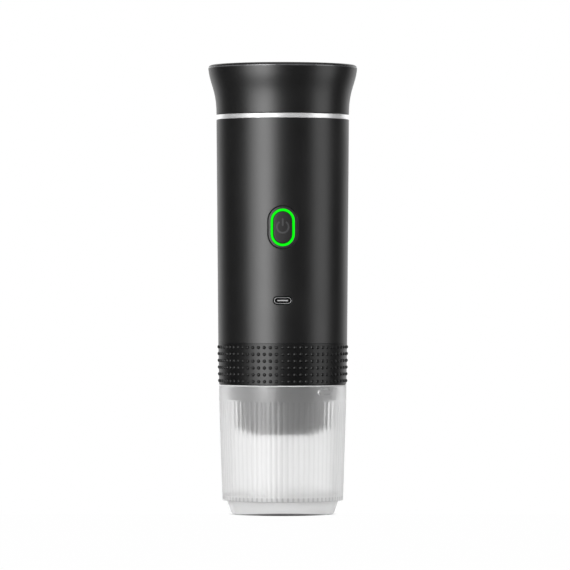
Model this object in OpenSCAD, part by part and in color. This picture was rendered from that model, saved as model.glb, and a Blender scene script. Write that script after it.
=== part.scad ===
// Portable espresso machine: a cordless brewer that stands on its own drinking cup.
// Sizes are in millimetres. Z is up, the button and the port face -Y, and the origin
// is the middle of the foot that it stands on.

/* [Cup] */
// Diameter of the foot where it stands
cup_foot_d = 53.8; // [46:0.1:57]
// Diameter of the foot under the shoulder
cup_foot_top_d = 58.8; // [55:0.1:62]
// Height of the foot
cup_foot_h = 7.1; // [5:0.1:12]
// Radius of the foot's lower edge
cup_foot_edge = 0.8; // [0.3:0.1:1.5]
// Wall thickness of the foot
cup_foot_wall = 2; // [1.2:0.1:3]
// Diameter of the fluted wall at the shoulder
cup_shoulder_d = 63.6; // [62:0.1:66]
// Diameter of the smooth collar at the mouth
cup_mouth_d = 67.2; // [66:0.1:69]
// Height of the smooth collar
cup_collar_h = 7.1; // [6:0.1:12]
// Height of the whole cup
cup_h = 68.1; // [60:0.1:90]
// Wall thickness
cup_wall = 3; // [2:0.1:3.4]
// Thickness of the floor
cup_floor_t = 3.1; // [1.5:0.1:4.5]
// Height of the inner floor above the shoulder
cup_floor_rise = 2.5; // [1:0.1:6]
// Radius between the inner floor and the wall
cup_floor_fillet = 3; // [1:0.1:6]
// Number of flutes round the wall
cup_flutes = 72; // [36:1:90]
// Depth of a flute
cup_flute_depth = 0.12; // [0.06:0.02:0.8]
// Width of a flute
cup_flute_w = 1.4; // [0.8:0.1:2.2]
// Smooth strip between the flutes and the collar
cup_flute_end = 1; // [0.5:0.1:6]
// Length of the half-round bead on the collar
cup_bead_l = 8.5; // [5:0.1:14]
// Height of the bead
cup_bead_h = 3; // [2:0.1:3.4]
// How far the bead stands out
cup_bead_rise = 1.1; // [0.6:0.1:1.4]
// Angle of the bead from the front
cup_bead_angle = 40; // [0:1:180]

/* [Grip collar] */
// Height of the dotted grip collar
collar_h = 21.6; // [20:0.1:30]
// Rows of dots
dot_rows = 6; // [3:1:7]
// Columns of dots round the collar
dot_columns = 66; // [40:1:70]
// Distance between rows
dot_pitch = 3.56; // [2.8:0.01:3.9]
// Diameter of a dot
dot_d = 1.9; // [1.2:0.1:2.4]
// Height of a dot above the collar
dot_proud = 0.55; // [0.2:0.05:0.8]
// Thickness of the ledge that the bayonet lugs pull on
track_t = 3.2; // [2:0.1:4]
// Turn from locked to free
twist_deg = 50; // [35:1:60]

/* [Brew chamber] */
// Depth of the spigot that enters the cup
spigot_depth = 8; // [5:0.1:14]
// Outer diameter of the chamber
chamber_d = 48.8; // [46:0.1:51]
// Length of the chamber below the spigot
chamber_len = 14.8; // [8:0.1:20]
// Diameter of the chamber's lower end
chamber_tip_d = 32; // [26:0.1:42]
// Height of the chamber's sloping lower end
chamber_tip_h = 3.8; // [2.5:0.1:8]
// Wall thickness of the chamber
chamber_wall = 1.6; // [1:0.1:2.2]
// Diameter of the outlet
outlet_d = 6; // [4:0.1:8]
// Sheet thickness of the filter basket
basket_t = 0.6; // [0.4:0.1:1]
// Width of the basket's rim
basket_rim_w = 4.2; // [3:0.1:4.8]
// Room under the basket
basket_drip_gap = 1.2; // [0.5:0.1:4]
// Diameter of a hole in the basket
basket_hole_d = 1.2; // [0.6:0.1:1.6]
// Distance between the rings of holes
sieve_pitch = 4.2; // [3:0.1:4.6]
// Rings of holes round the middle one
sieve_rings = 4; // [2:1:4]

/* [Brew group] */
// Diameter of the bayonet boss
boss_d = 56.2; // [54:0.1:57]
// Length of the bayonet boss
boss_len = 15; // [13:0.1:17]
// Wall thickness of the boss
boss_wall = 2.7; // [1.8:0.1:3]
// Reach of a bayonet lug from the boss
lug_reach = 2; // [1.4:0.1:2.4]
// Width of a bayonet lug
lug_w = 12; // [8:0.1:14]
// Height of a bayonet lug
lug_h = 3; // [2:0.1:4]
// Height of the lugs above the end of the boss
lug_rise = 2; // [1.5:0.1:3]
// Thickness of the group's disc
group_disc_t = 4.3; // [3:0.1:7]
// Thickness of the group's floor over the shower plate
group_floor_t = 2.5; // [1.5:0.1:4]
// Diameter of the shower plate
shower_d = 45.8; // [42:0.1:46]
// Thickness of the shower plate
shower_t = 1.2; // [0.8:0.1:2]
// Diameter of a hole in the shower plate
shower_hole_d = 1; // [0.6:0.1:1.5]
// Height of the water gap over the shower plate
shower_gap = 1; // [0.5:0.1:2]
// Thickness of the group gasket
gasket_t = 1.4; // [1:0.1:1.8]
// Width of the group gasket
gasket_w = 4.2; // [3:0.1:4.4]

/* [Body] */
// Diameter of the body at its lower edge
body_d = 68.1; // [67:0.1:72]
// Diameter of the body at its upper edge, of the trim ring and of the cap's base
body_top_d = 70; // [69:0.1:76]
// Height of the body shell
body_h = 117.7; // [108:0.1:140]
// Wall thickness at the narrower end
body_wall = 1.85; // [1.4:0.05:2.2]
// Chamfer of the body's edges
body_edge = 0.4; // [0.1:0.1:0.8]
// Width of the inner ledge that the frame is clamped to
body_ledge_w = 4; // [3.6:0.1:4.6]
// Thickness of the inner ledge
body_ledge_t = 2; // [1.5:0.1:3]
// Height of the trim ring
ring_h = 2.5; // [1.5:0.1:5]
// Chamfer of the trim ring
ring_edge = 0.3; // [0.1:0.1:0.6]

/* [Cap] */
// Height of the cap
cap_h = 26.1; // [22:0.1:40]
// Diameter of the cap's rim
cap_rim_d = 78.6; // [74:0.1:86]
// Height over which the flare leaves the base upright
cap_base_pull = 13; // [8:0.5:14]
// Height over which the flare meets the rim
cap_rim_pull = 8.5; // [4:0.5:10]
// Slope of the rim
cap_rim_angle = 6; // [0:1:12]
// Radius of the top edge
cap_edge = 1.8; // [0.8:0.1:3]
// Wall thickness
cap_wall = 2; // [1.4:0.1:2.6]
// Thickness of the top
cap_top_t = 2.4; // [1.6:0.1:4]
// Depth of the plug that enters the tank
plug_depth = 6.8; // [5:0.1:12]
// Wall thickness of the plug
plug_wall = 1.6; // [1.2:0.1:2.2]
// Thickness of the liner's disc
liner_t = 2; // [1.2:0.1:3]
// Cord thickness of the cap seal
seal_d = 1.7; // [1.2:0.1:2]

/* [Button and port] */
// Height of the button's middle above the body's lower edge
button_up = 60.5; // [50:0.1:62]
// Width of the button
button_w = 9.5; // [7:0.1:10.5]
// Height of the button
button_l = 16.5; // [13:0.1:20]
// Gap round the button
button_gap = 0.3; // [0.2:0.05:0.6]
// How far the button travels
button_travel = 0.5; // [0.3:0.05:0.6]
// Width of the light ring
light_w = 1.5; // [1:0.05:2.5]
// Depth of the light ring
light_depth = 2.5; // [2.2:0.1:2.7]
// Width of the bezel
bezel_w = 1.15; // [0.8:0.05:1.6]
// Height of the port's middle above the body's lower edge
port_up = 22.4; // [15:0.1:30]
// Width of the USB-C shell
usb_w = 8.94; // [8.9:0.01:9]
// Height of the USB-C shell
usb_h = 3.26; // [3.2:0.01:3.3]
// Sheet thickness of the USB-C shell
usb_t = 0.3; // [0.2:0.05:0.35]
// Gap round the USB-C shell
port_gap = 0.5; // [0.3:0.1:1]

/* [Power] */
// Diameter of a battery cell
cell_d = 18.4; // [16:0.1:19]
// Length of a battery cell
cell_h = 65; // [58:0.5:70]
// Distance of the control board's back from the axis
board_y = 24; // [23:0.1:25]
// Width of the control board
board_w = 30; // [28:0.5:34]
// Thickness of the control board
board_t = 1.6; // [1:0.1:2]
// Side of the switch behind the button
switch_w = 6; // [5:0.1:8]
// Height of the switch's case
switch_h = 3.2; // [2.8:0.1:3.6]
// Diameter of the switch's stem
switch_stem_d = 3.4; // [2.4:0.1:4]

/* [Pump] */
// Length of the pump's yoke
pump_len = 38; // [37:0.5:42]
// Sheet thickness of the yoke
yoke_t = 1; // [0.6:0.1:1.4]
// Diameter of the plunger
plunger_d = 7.84; // [7:0.02:8]
// Length of the plunger
plunger_len = 20; // [16:0.5:22]
// Wall thickness of the pump's cylinder
cylinder_wall = 1.4; // [1:0.1:1.6]
// Length of the plunger's spring
spring_len = 14; // [12:0.5:16]
// Wire diameter of the spring
spring_wire_d = 0.7; // [0.4:0.05:0.8]
// Turns of the spring
spring_turns = 6; // [4:1:7]
// Diameter of the valve ball
ball_d = 4.8; // [4.2:0.1:5.2]
// Diameter of the hose barbs
barb_d = 6; // [5:0.1:7]
// Diameter of the water channel
channel_d = 3.2; // [2.4:0.1:3.6]
// Wall thickness of the tubes
tube_wall = 1.15; // [0.8:0.05:1.5]

/* [Tank] */
// Sheet thickness of the tank
tank_t = 0.8; // [0.5:0.05:1]
// Gap between the tank and the body
tank_gap = 2.1; // [1.5:0.1:3]
// Thickness of the heater
heater_t = 3; // [2:0.1:5]
// Room between the frame and the heater
heater_gap = 3.1; // [2.6:0.1:6]
// Diameter of the temperature sensor
sensor_d = 5.6; // [4:0.1:7]

/* [Frame] */
// Thickness of the frame's plates
plate_t = 2.5; // [2:0.1:4]
// Diameter of the columns
column_d = 7; // [6:0.1:8]
// Height of the lower pump hub
hub_h = 8; // [6:0.1:10]
// Wall thickness of the pump hubs
hub_wall = 2.4; // [1.6:0.1:2.6]
// Wall thickness of the cell cups
cell_cup_wall = 1; // [0.6:0.1:1.2]
// Height of the cell cups
cell_cup_h = 4; // [2:0.1:8]
// Height of a rubber pump mount
mount_h = 3.5; // [2.5:0.1:5]

/* [Fits] */
// Seam between pieces that part
seam = 0.2; // [0.1:0.05:0.3]
// Running gap between pieces that turn or slide
run_gap = 0.3; // [0.2:0.05:0.4]
// Gap between the spigot and the cup
cup_gap = 0.4; // [0.3:0.05:0.6]
// Gap between pieces that are fitted together
fit_gap = 0.1; // [0.05:0.01:0.15]
// Radial clearance of the plunger and the switch's stem
slide_gap = 0.08; // [0.05:0.01:0.1]

/* [Hidden] */
$fn = 96;
past = 1; // how far a cutter runs past what it cuts
dot_facets = 16; // drawn sides of a dot
hole_facets = 24; // drawn sides of a sieve hole
edge_steps = 4; // points along a small edge radius
curve_steps = 8; // points along a larger radius
flare_steps = 16; // points along the cap's flare

// Heights, from the foot up
collar_z = cup_h + seam;
collar_top = collar_z + collar_h;
body_z = collar_top + seam;
body_top = body_z + body_h;
ring_top = body_top + ring_h;
cap_z = ring_top + seam;
cap_top = cap_z + cap_h;

// Cup
cup_collar_z = cup_h - cup_collar_h;
cup_floor_z = cup_foot_h + cup_floor_rise;
cup_bore_r = cup_mouth_d / 2 - cup_wall;
cup_lip = 0.5;
bead_z = cup_h - cup_collar_h / 2;
bead_r = (pow(cup_bead_h / 2, 2) + pow(cup_bead_rise, 2)) / (2 * cup_bead_rise);
bead_path_r = cup_mouth_d / 2 + cup_bead_rise - bead_r;
bead_turn = max(cup_bead_l - cup_bead_h, 0) * 360 / (PI * cup_mouth_d);
flute_r = (pow(cup_flute_w / 2, 2) + pow(cup_flute_depth, 2)) / (2 * cup_flute_depth);
cup_taper = atan((cup_mouth_d - cup_shoulder_d) / 2 / (cup_collar_z - cup_foot_h));
function cup_r(z) = cup_shoulder_d / 2 + (z - cup_foot_h) * tan(cup_taper);
function foot_r(z) = cup_foot_d / 2 + (cup_foot_top_d - cup_foot_d) / 2 * z / cup_foot_h;

// Brew group, from the body's lower edge
group_z = body_z + fit_gap;
ledge_z = group_z + group_disc_t;
ledge_top = ledge_z + body_ledge_t;
boss_r = boss_d / 2;
boss_z = group_z - boss_len;
lug_r = boss_r + lug_reach;
lug_z = boss_z + lug_rise;
lug_angles = [30, 150, 270];
shower_top = boss_z + shower_t;
group_floor_z = shower_top + shower_gap;
shower_rim = 1.9;
gasket_clear = 0.5;
gasket_d = shower_d + 2 * gasket_clear;
barb_boss_t = 3;
barb_rise = 0.5;

// Grip collar and brew chamber, from the group
track_top = lug_z - run_gap;
track_z = track_top - track_t;
track_r = boss_r + run_gap;
stop_w = 2;
flat_cut = 4 * dot_pitch; // side of the block that planes one flat
collar_r = cup_mouth_d / 2;
collar_top_r = body_d / 2;
collar_taper = atan((collar_top_r - collar_r) / collar_h);
dot_r = (pow(dot_d / 2, 2) + pow(dot_proud, 2)) / (2 * dot_proud);
dot_z = (collar_h - (dot_rows - 1) * dot_pitch) / 2;
spigot_r = cup_bore_r - cup_gap;
spigot_z = collar_z - spigot_depth;
tier_z = spigot_z - chamber_len;
tip_z = tier_z - chamber_tip_h;
chamber_r = chamber_d / 2 - chamber_wall;
chamber_floor_z = tip_z + chamber_wall;
basket_r = chamber_r - run_gap;
basket_z = tier_z + chamber_wall + basket_drip_gap;
rim_top = boss_z - gasket_t - run_gap;
rim_z = rim_top - basket_t;
rim_r = basket_r + basket_rim_w;
valve_lip = 2;
valve_head_d = outlet_d + 2 * valve_lip;
valve_head_t = 1.2;
valve_slit_d = 1.6;

// Frame and what it carries
bore_r = min(body_d, body_top_d) / 2 - body_wall; // straight, so the narrower end sets it
frame_r = bore_r - run_gap;
lower_top = ledge_top + plate_t;
cell_z = lower_top + run_gap;
upper_z = cell_z + cell_h + run_gap;
upper_top = upper_z + plate_t;
upper_mid = upper_z + plate_t / 2;
cell_angles = [90, 210, 330];
cell_edge_gap = 1.2;
cell_ring_r = frame_r - cell_d / 2 - cell_edge_gap;
cell_cup_r = cell_d / 2 + run_gap;
column_angles = [30, 150];
column_edge_gap = 0.9;
column_r = frame_r - column_d / 2 - column_edge_gap;
post_x = 10;
post_w = 4;
post_t = 3.5;
board_end_gap = 1;
board_z = lower_top + board_end_gap;
board_top = upper_z - board_end_gap;
board_front = board_y + board_t;
board_screw_inset = 4;

// Screws: shaft and head
screw_d = 2;
screw_head_d = 3.4;
screw_head_h = 1.5;
screw_hole_d = screw_d + 2 * fit_gap;
screw_head_hole_d = screw_head_d + 2 * fit_gap;
screw_head_hole_h = screw_head_h + fit_gap;
screw_cover = 0.2; // what is left of the plate over a screw's end
group_screw_r = frame_r - screw_head_hole_d / 2 - fit_gap;
group_screw_len = lower_top - group_z - screw_head_hole_h - screw_cover - fit_gap;
frame_screw_len = 9;
board_screw_len = 4.5;

// Button and port, as distances from the axis towards the front
button_z = body_z + button_up;
button_straight = button_l - button_w;
skin_r = body_d / 2 + (body_top_d - body_d) / 2 * button_up / body_h;
light_in_w = button_w + 2 * button_gap;
light_out_w = light_in_w + 2 * light_w;
bezel_in_w = light_out_w + 2 * fit_gap;
bezel_out_w = bezel_in_w + 2 * bezel_w;
hole_w = bezel_out_w + 2 * fit_gap;
light_back = skin_r - light_depth;
flange_lip = light_w / 2;
flange_w = light_in_w + 2 * flange_lip;
flange_t = 0.9;
flange_front = light_back - run_gap;
flange_back = flange_front - flange_t;
bezel_seat_w = flange_w + 2 * run_gap;
bezel_lip = 1.25;
bezel_flange_w = bezel_out_w + 2 * bezel_lip;
bezel_flange_front = sqrt(pow(bore_r, 2) - pow(bezel_flange_w / 2, 2)) - run_gap;
bezel_flange_t = 0.55;
bezel_back = min(flange_back - button_travel - run_gap, bezel_flange_front - bezel_flange_t);
front = body_top_d;
face_inset = 0.15;
bezel_inset = 0.05;
switch_front = board_front + switch_h;
stem_room = 1.6;
stem_back = board_front + stem_room;
port_z = body_z + port_up;
port_skin_r = body_d / 2 + (body_top_d - body_d) / 2 * port_up / body_h;
port_inset = 0.5;
usb_front = port_skin_r - port_inset;
usb_base = 1.6;
usb_in_w = usb_w - 2 * usb_t;
usb_in_h = usb_h - 2 * usb_t;
tongue_w = 6.7;
tongue_t = 0.7;
tongue_inset = 0.7;
tongue_front = usb_front - tongue_inset;

// Pump, on the axis
hub_top = ledge_top + hub_h + plate_t;
yoke_rise = 3;
yoke_z = hub_top + yoke_rise;
yoke_top = yoke_z + pump_len;
yoke_gap = 1.3;
yoke_r = cell_ring_r - cell_d / 2 - yoke_gap;
cylinder_r = plunger_d / 2 + slide_gap;
neck_r = cylinder_r + cylinder_wall;
mount_sink = 0.5;
neck_z = hub_top - mount_h - mount_sink;
neck_rise = 8;
neck_top = yoke_top + neck_rise;
spring_seat = 1;
spring_z = yoke_z + spring_seat;
plunger_z = spring_z + spring_len;
plunger_top = plunger_z + plunger_len;
chamber_top_z = plunger_top + run_gap;
ball_r = ball_d / 2;
ball_gap = 0.6;
ball_bore_r = ball_r + ball_gap;
ball_room = 0.2;
ball_seat_z = spring_z - ball_d - ball_room;
ball_lift = 0.02;
ball_z = ball_seat_z + sqrt(pow(ball_r, 2) - pow(channel_d / 2, 2)) + ball_lift;
plunger_hole_d = 2.4;
spring_r = cylinder_r - spring_wire_d / 2 - run_gap;
mount_t = 2.6;
hub_r = neck_r + mount_t;
mount_r = hub_r - fit_gap / 2;
barb_r = barb_d / 2;
barb_boss_r = barb_r + barb_boss_t;
tube_in_r = barb_r + fit_gap / 2;
tube_r = tube_in_r + tube_wall;
upper_hub_rise = 2;
upper_hub_z = yoke_top + upper_hub_rise;
group_barb_top = ledge_top + barb_rise;
barb_gap = 1;
outlet_barb_z = group_barb_top + barb_gap;

// Water tank and heater
heater_z = upper_top + heater_gap;
tank_z = heater_z + heater_t;
tank_floor_z = tank_z + tank_t;
tank_r = bore_r - tank_gap;
tank_in_r = tank_r - tank_t;
tank_lip_inset = 1.5;
tank_lip_r = body_top_d / 2 - tank_lip_inset;
rebate_r = tank_lip_r + fit_gap;
tank_spigot_len = 4;
spigot_end_z = heater_z - tank_spigot_len;
inlet_barb_gap = 1.5;
inlet_barb_z = spigot_end_z - inlet_barb_gap;
heater_in_r = tube_r + run_gap;
heater_inset = 2;
heater_r = tank_r - heater_inset;
sensor_x = 15;
sensor_gap = 0.5;
sensor_z = upper_top + sensor_gap;

// Cap
cap_r = body_top_d / 2;
cap_rim_r = cap_rim_d / 2;
cap_rim_z = cap_top - cap_edge * (1 + sin(cap_rim_angle));
cap_edge_r = cap_rim_r - cap_edge;
liner_z = cap_z + run_gap;
liner_r = cap_r - cap_wall - fit_gap;
plug_gap = 0.9;
plug_r = tank_in_r - plug_gap;
plug_z = liner_z - plug_depth;
seal_r = tank_in_r - run_gap - seal_d / 2;
groove_r = seal_r - seal_d / 2 - fit_gap / 2;
groove_h = seal_d + 2 * fit_gap;
groove_rise = 1.5;
groove_z = plug_z + groove_rise;

// Points along an arc
function arc(cx, cy, r, a0, a1, n) =
    [for (i = [0:n]) let (a = a0 + (a1 - a0) * i / n) [cx + r * cos(a), cy + r * sin(a)]];

// Points along a cubic curve that is drawn by two end points and two pull points
function curve(p0, p1, p2, p3, n) =
    [for (i = [0:n]) let (t = i / n, s = 1 - t)
        s * s * s * p0 + 3 * s * s * t * p1 + 3 * s * t * t * p2 + t * t * t * p3];

function reversed(list) = [for (i = [len(list) - 1:-1:0]) list[i]];

// The flare of the cap at a given inset from its outer face, up to a given height
function flare(inset, top) =
    curve(
        [cap_r - inset, cap_z],
        [cap_r - inset, cap_z + cap_base_pull],
        [cap_flare_r - inset - cap_rim_pull * tan(cap_rim_angle), top - cap_rim_pull],
        [cap_flare_r - inset, top],
        flare_steps);
cap_flare_r = cap_edge_r + cap_edge * cos(cap_rim_angle);

// Round-ended slot outline
module pill(w, h) {
    d = min(w, h);
    square([max(w - h, 0) + (w > h ? 0 : d), max(h - w, 0) + (w > h ? d : 0)], center = true);
    for (s = [-1, 1])
        translate([s * max(w - h, 0) / 2, s * max(h - w, 0) / 2])
        circle(d = d);
}

// The button's outline at another width
module button_pill(w) {
    pill(w, w + button_straight);
}

// Extrudes an outline towards the front, between two distances from the axis
module on_front(z, near, far) {
    translate([0, -near, z])
    rotate([90, 0, 0])
    linear_extrude(far - near)
    children();
}

// The body's outer form, brought in by an inset
module skin(inset) {
    translate([0, 0, body_z])
    cylinder(h = body_h, r1 = body_d / 2 - inset, r2 = body_top_d / 2 - inset);
}

// A straight tube
module tube(z0, z1, r_in, r_out) {
    translate([0, 0, z0])
    difference() {
        cylinder(h = z1 - z0, r = r_out);
        translate([0, 0, -past])
        cylinder(h = z1 - z0 + 2 * past, r = r_in);
    }
}

// Copies a child round the axis
module around(angles, r) {
    for (a = angles)
        rotate(a)
        translate([r, 0, 0])
        children();
}

// A round-headed screw that points up, with the underside of its head at z = 0
module screw(length) {
    cylinder(h = length, d = screw_d);
    translate([0, 0, -screw_head_h])
    cylinder(h = screw_head_h, d = screw_head_d);
}

// The hole that takes such a screw, with its head let in
module screw_hole(length) {
    translate([0, 0, -past])
    cylinder(h = length + 2 * past, d = screw_hole_d);
    translate([0, 0, -screw_head_hole_h - past])
    cylinder(h = screw_head_hole_h + past, d = screw_head_hole_d);
}

// Rings of small holes through a disc
module sieve(z, t, d) {
    translate([0, 0, z - past]) {
        cylinder(h = t + 2 * past, d = d);
        for (ring = [1:sieve_rings], i = [0:6 * ring - 1])
            rotate(i * 60 / ring)
            translate([ring * sieve_pitch, 0, 0])
            cylinder(h = t + 2 * past, d = d, $fn = hole_facets);
    }
}

// One flat of the many-sided grip, with its face at x = 0
module on_flat(column) {
    rotate(270 + column * 360 / dot_columns)
    translate([collar_r, 0, collar_z])
    rotate([0, collar_taper, 0])
    children();
}

// Half-round bead with round ends, rooted in the cup's collar
module collar_bead() {
    difference() {
        translate([0, 0, bead_z])
        rotate(270 + cup_bead_angle) {
            rotate(-bead_turn / 2)
            rotate_extrude(angle = bead_turn)
            translate([bead_path_r, 0])
            circle(r = bead_r);
            for (s = [-1, 1])
                rotate(s * bead_turn / 2)
                translate([bead_path_r, 0, 0])
                sphere(r = bead_r);
        }
        cylinder(h = cup_h + past, r = cup_mouth_d / 2 - cup_wall / 4);
    }
}

// Drinking cup and foot: fluted wall, smooth collar with a bead, open skirt under the floor
module cup() {
    color([0.92, 0.93, 0.94, 0.7]) {
        collar_bead();
        difference() {
            rotate_extrude()
            polygon(concat(
                [[0, cup_floor_z], [0, cup_floor_z - cup_floor_t]],
                [[foot_r(cup_floor_z - cup_floor_t) - cup_foot_wall, cup_floor_z - cup_floor_t]],
                [[cup_foot_d / 2 - cup_foot_wall, 0]],
                arc(foot_r(cup_foot_edge) - cup_foot_edge, cup_foot_edge, cup_foot_edge, -90, 0, edge_steps),
                [[cup_foot_top_d / 2, cup_foot_h], [cup_shoulder_d / 2, cup_foot_h]],
                [[cup_mouth_d / 2, cup_collar_z], [cup_mouth_d / 2, cup_h - cup_lip]],
                [[cup_mouth_d / 2 - cup_lip, cup_h], [cup_bore_r + cup_lip, cup_h]],
                [[cup_bore_r, cup_h - cup_lip], [cup_bore_r, cup_collar_z]],
                arc(cup_r(cup_floor_z + cup_floor_fillet) - cup_wall - cup_floor_fillet,
                    cup_floor_z + cup_floor_fillet, cup_floor_fillet, 0, -90, curve_steps)));
            for (i = [0:cup_flutes - 1])
                rotate(270 + i * 360 / cup_flutes)
                translate([cup_shoulder_d / 2 - cup_flute_depth + flute_r, 0, cup_foot_h])
                rotate([0, cup_taper, 0])
                translate([0, 0, -past])
                cylinder(h = cup_collar_z - cup_flute_end - cup_foot_h + past, r = flute_r);
        }
    }
}

// Grip collar: dots on the outside, a bayonet ledge with entry notches and stops inside
module grip_collar() {
    color("#232325") {
        difference() {
            translate([0, 0, collar_z])
            cylinder(h = collar_h, r = max(collar_r, collar_top_r) + past);
            for (column = [0:dot_columns - 1])
                on_flat(column)
                translate([0, -flat_cut / 2, -collar_h])
                cube([flat_cut, flat_cut, 3 * collar_h]);
            translate([0, 0, collar_z - past])
            cylinder(h = collar_h + 2 * past, r = track_r);
            translate([0, 0, collar_z - past])
            cylinder(h = track_z - collar_z + past, r = spigot_r + fit_gap);
            translate([0, 0, track_top])
            cylinder(h = collar_top - track_top + past, r = lug_r + run_gap);
            for (a = lug_angles)
                rotate(a - twist_deg)
                translate([0, -lug_w / 2 - run_gap, track_z - past])
                intersection() {
                    cube([2 * lug_r, lug_w + 2 * run_gap, track_t + 2 * past]);
                    cylinder(h = track_t + 2 * past, r = lug_r + run_gap);
                }
        }
        for (a = lug_angles)
            rotate(a)
            intersection() {
                tube(track_top - track_t / 2, lug_z + lug_h, track_r, lug_r + 2 * run_gap);
                translate([0, lug_w / 2 + run_gap, track_z])
                cube([2 * lug_r, stop_w, collar_h]);
            }
        for (column = [0:dot_columns - 1], row = [0:dot_rows - 1])
            on_flat(column)
            translate([dot_proud - dot_r, 0, dot_z + row * dot_pitch])
            sphere(r = dot_r, $fn = dot_facets);
    }
}

// Brew chamber: spigot into the cup, seat for the basket, sloping lower end with the outlet
module brew_chamber() {
    color("#2b2b2d")
    rotate_extrude()
    polygon([
        [outlet_d / 2, tip_z],
        [chamber_tip_d / 2, tip_z],
        [chamber_d / 2, tier_z],
        [chamber_d / 2, spigot_z],
        [spigot_r - body_edge, spigot_z],
        [spigot_r, spigot_z + body_edge],
        [spigot_r, track_z],
        [rim_r + run_gap, track_z],
        [rim_r + run_gap, rim_z],
        [chamber_r, rim_z],
        [chamber_r, tier_z + chamber_wall],
        [chamber_tip_d / 2 - chamber_wall, chamber_floor_z],
        [outlet_d / 2, chamber_floor_z]
    ]);
}

// Filter basket: drawn sheet cup with a rim and a sieve floor
module filter_basket() {
    color("silver")
    difference() {
        rotate_extrude()
        polygon([
            [0, basket_z],
            [basket_r, basket_z],
            [basket_r, rim_z],
            [rim_r, rim_z],
            [rim_r, rim_top],
            [basket_r - basket_t, rim_top],
            [basket_r - basket_t, basket_z + basket_t],
            [0, basket_z + basket_t]
        ]);
        sieve(basket_z, basket_t, basket_hole_d);
    }
}

// Crema valve: soft plug that holds the brew back until there is pressure
module crema_valve() {
    color("#8c3b2e")
    rotate_extrude()
    polygon([
        [valve_slit_d / 2, tip_z],
        [outlet_d / 2 - fit_gap, tip_z],
        [outlet_d / 2 - fit_gap, chamber_floor_z],
        [valve_head_d / 2, chamber_floor_z],
        [valve_head_d / 2, chamber_floor_z + valve_head_t],
        [valve_slit_d / 2, chamber_floor_z + valve_head_t]
    ]);
}

// Brew group: closes the body's lower end and carries the bayonet boss
module brew_group() {
    color("#343436")
    difference() {
        union() {
            rotate_extrude()
            polygon([
                [channel_d / 2, group_floor_z],
                [shower_d / 2 - shower_rim, group_floor_z],
                [shower_d / 2 - shower_rim, shower_top],
                [shower_d / 2 + fit_gap / 2, shower_top],
                [shower_d / 2 + fit_gap / 2, boss_z],
                [boss_r, boss_z],
                [boss_r, group_z],
                [frame_r, group_z],
                [frame_r, ledge_z],
                [boss_r - boss_wall, ledge_z],
                [boss_r - boss_wall, group_floor_z + group_floor_t],
                [barb_boss_r, group_floor_z + group_floor_t],
                [barb_boss_r, ledge_z],
                [barb_r, ledge_z],
                [barb_r, group_barb_top],
                [channel_d / 2, group_barb_top]
            ]);
            for (a = lug_angles)
                rotate(a)
                translate([0, 0, lug_z])
                intersection() {
                    tube(0, lug_h, boss_r - boss_wall / 2, lug_r);
                    translate([0, -lug_w / 2, 0])
                    cube([2 * lug_r, lug_w, lug_h]);
                }
        }
        around(cell_angles, group_screw_r)
        translate([0, 0, group_z + screw_head_hole_h])
        screw_hole(group_disc_t);
    }
}

// Group gasket: seals the basket's rim to the group
module group_gasket() {
    color("#9a4a3a")
    tube(boss_z - gasket_t, boss_z, gasket_d / 2, gasket_d / 2 + gasket_w);
}

// Shower plate: spreads the water over the coffee
module shower_plate() {
    color("silver")
    difference() {
        translate([0, 0, boss_z])
        cylinder(h = shower_t, d = shower_d);
        sieve(boss_z, shower_t, shower_hole_d);
    }
}

// Screws that clamp the group and the lower frame to the body's ledge
module group_screws() {
    color("gray")
    around(cell_angles, group_screw_r)
    translate([0, 0, group_z + screw_head_hole_h])
    screw(group_screw_len);
}

// Body shell: tapered tube with an inner ledge, a rebate for the tank and two front openings
module body_shell() {
    color("#1b1b1d")
    difference() {
        rotate_extrude()
        polygon([
            [bore_r, body_z],
            [body_d / 2 - body_edge, body_z],
            [body_d / 2, body_z + body_edge],
            [body_top_d / 2, body_top],
            [rebate_r, body_top],
            [rebate_r, body_top - tank_t],
            [bore_r, body_top - tank_t],
            [bore_r, ledge_top],
            [bore_r - body_ledge_w, ledge_top],
            [bore_r - body_ledge_w, ledge_z],
            [bore_r, ledge_z]
        ]);
        on_front(button_z, bezel_back, front)
        button_pill(hole_w);
        on_front(port_z, bezel_back, front)
        pill(usb_w + 2 * port_gap, usb_h + 2 * port_gap);
        around(cell_angles, group_screw_r)
        translate([0, 0, ledge_z - past])
        cylinder(h = body_ledge_t + 2 * past, d = screw_hole_d);
    }
}

// Cups that hold the ends of the cells, between two heights
module cell_cups(z0, z1) {
    intersection() {
        union() {
            for (a = cell_angles)
                rotate(a)
                translate([cell_ring_r, 0, 0])
                tube(z0, z1, cell_cup_r, cell_cup_r + cell_cup_wall);
        }
        translate([0, 0, z0])
        cylinder(h = z1 - z0, r = frame_r);
    }
}

// Lower frame: plate on the ledge with the lower pump hub and the cell cups
module lower_frame() {
    color("#5a5f66")
    difference() {
        union() {
            tube(ledge_top, lower_top, hub_r, frame_r);
            tube(ledge_top, hub_top, hub_r, hub_r + hub_wall);
            cell_cups(lower_top, lower_top + cell_cup_h);
        }
        around(cell_angles, group_screw_r)
        translate([0, 0, ledge_top - past])
        cylinder(h = plate_t + past - screw_cover, d = screw_hole_d);
        around(column_angles, column_r)
        translate([0, 0, ledge_top + screw_head_hole_h])
        screw_hole(plate_t);
    }
}

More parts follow.
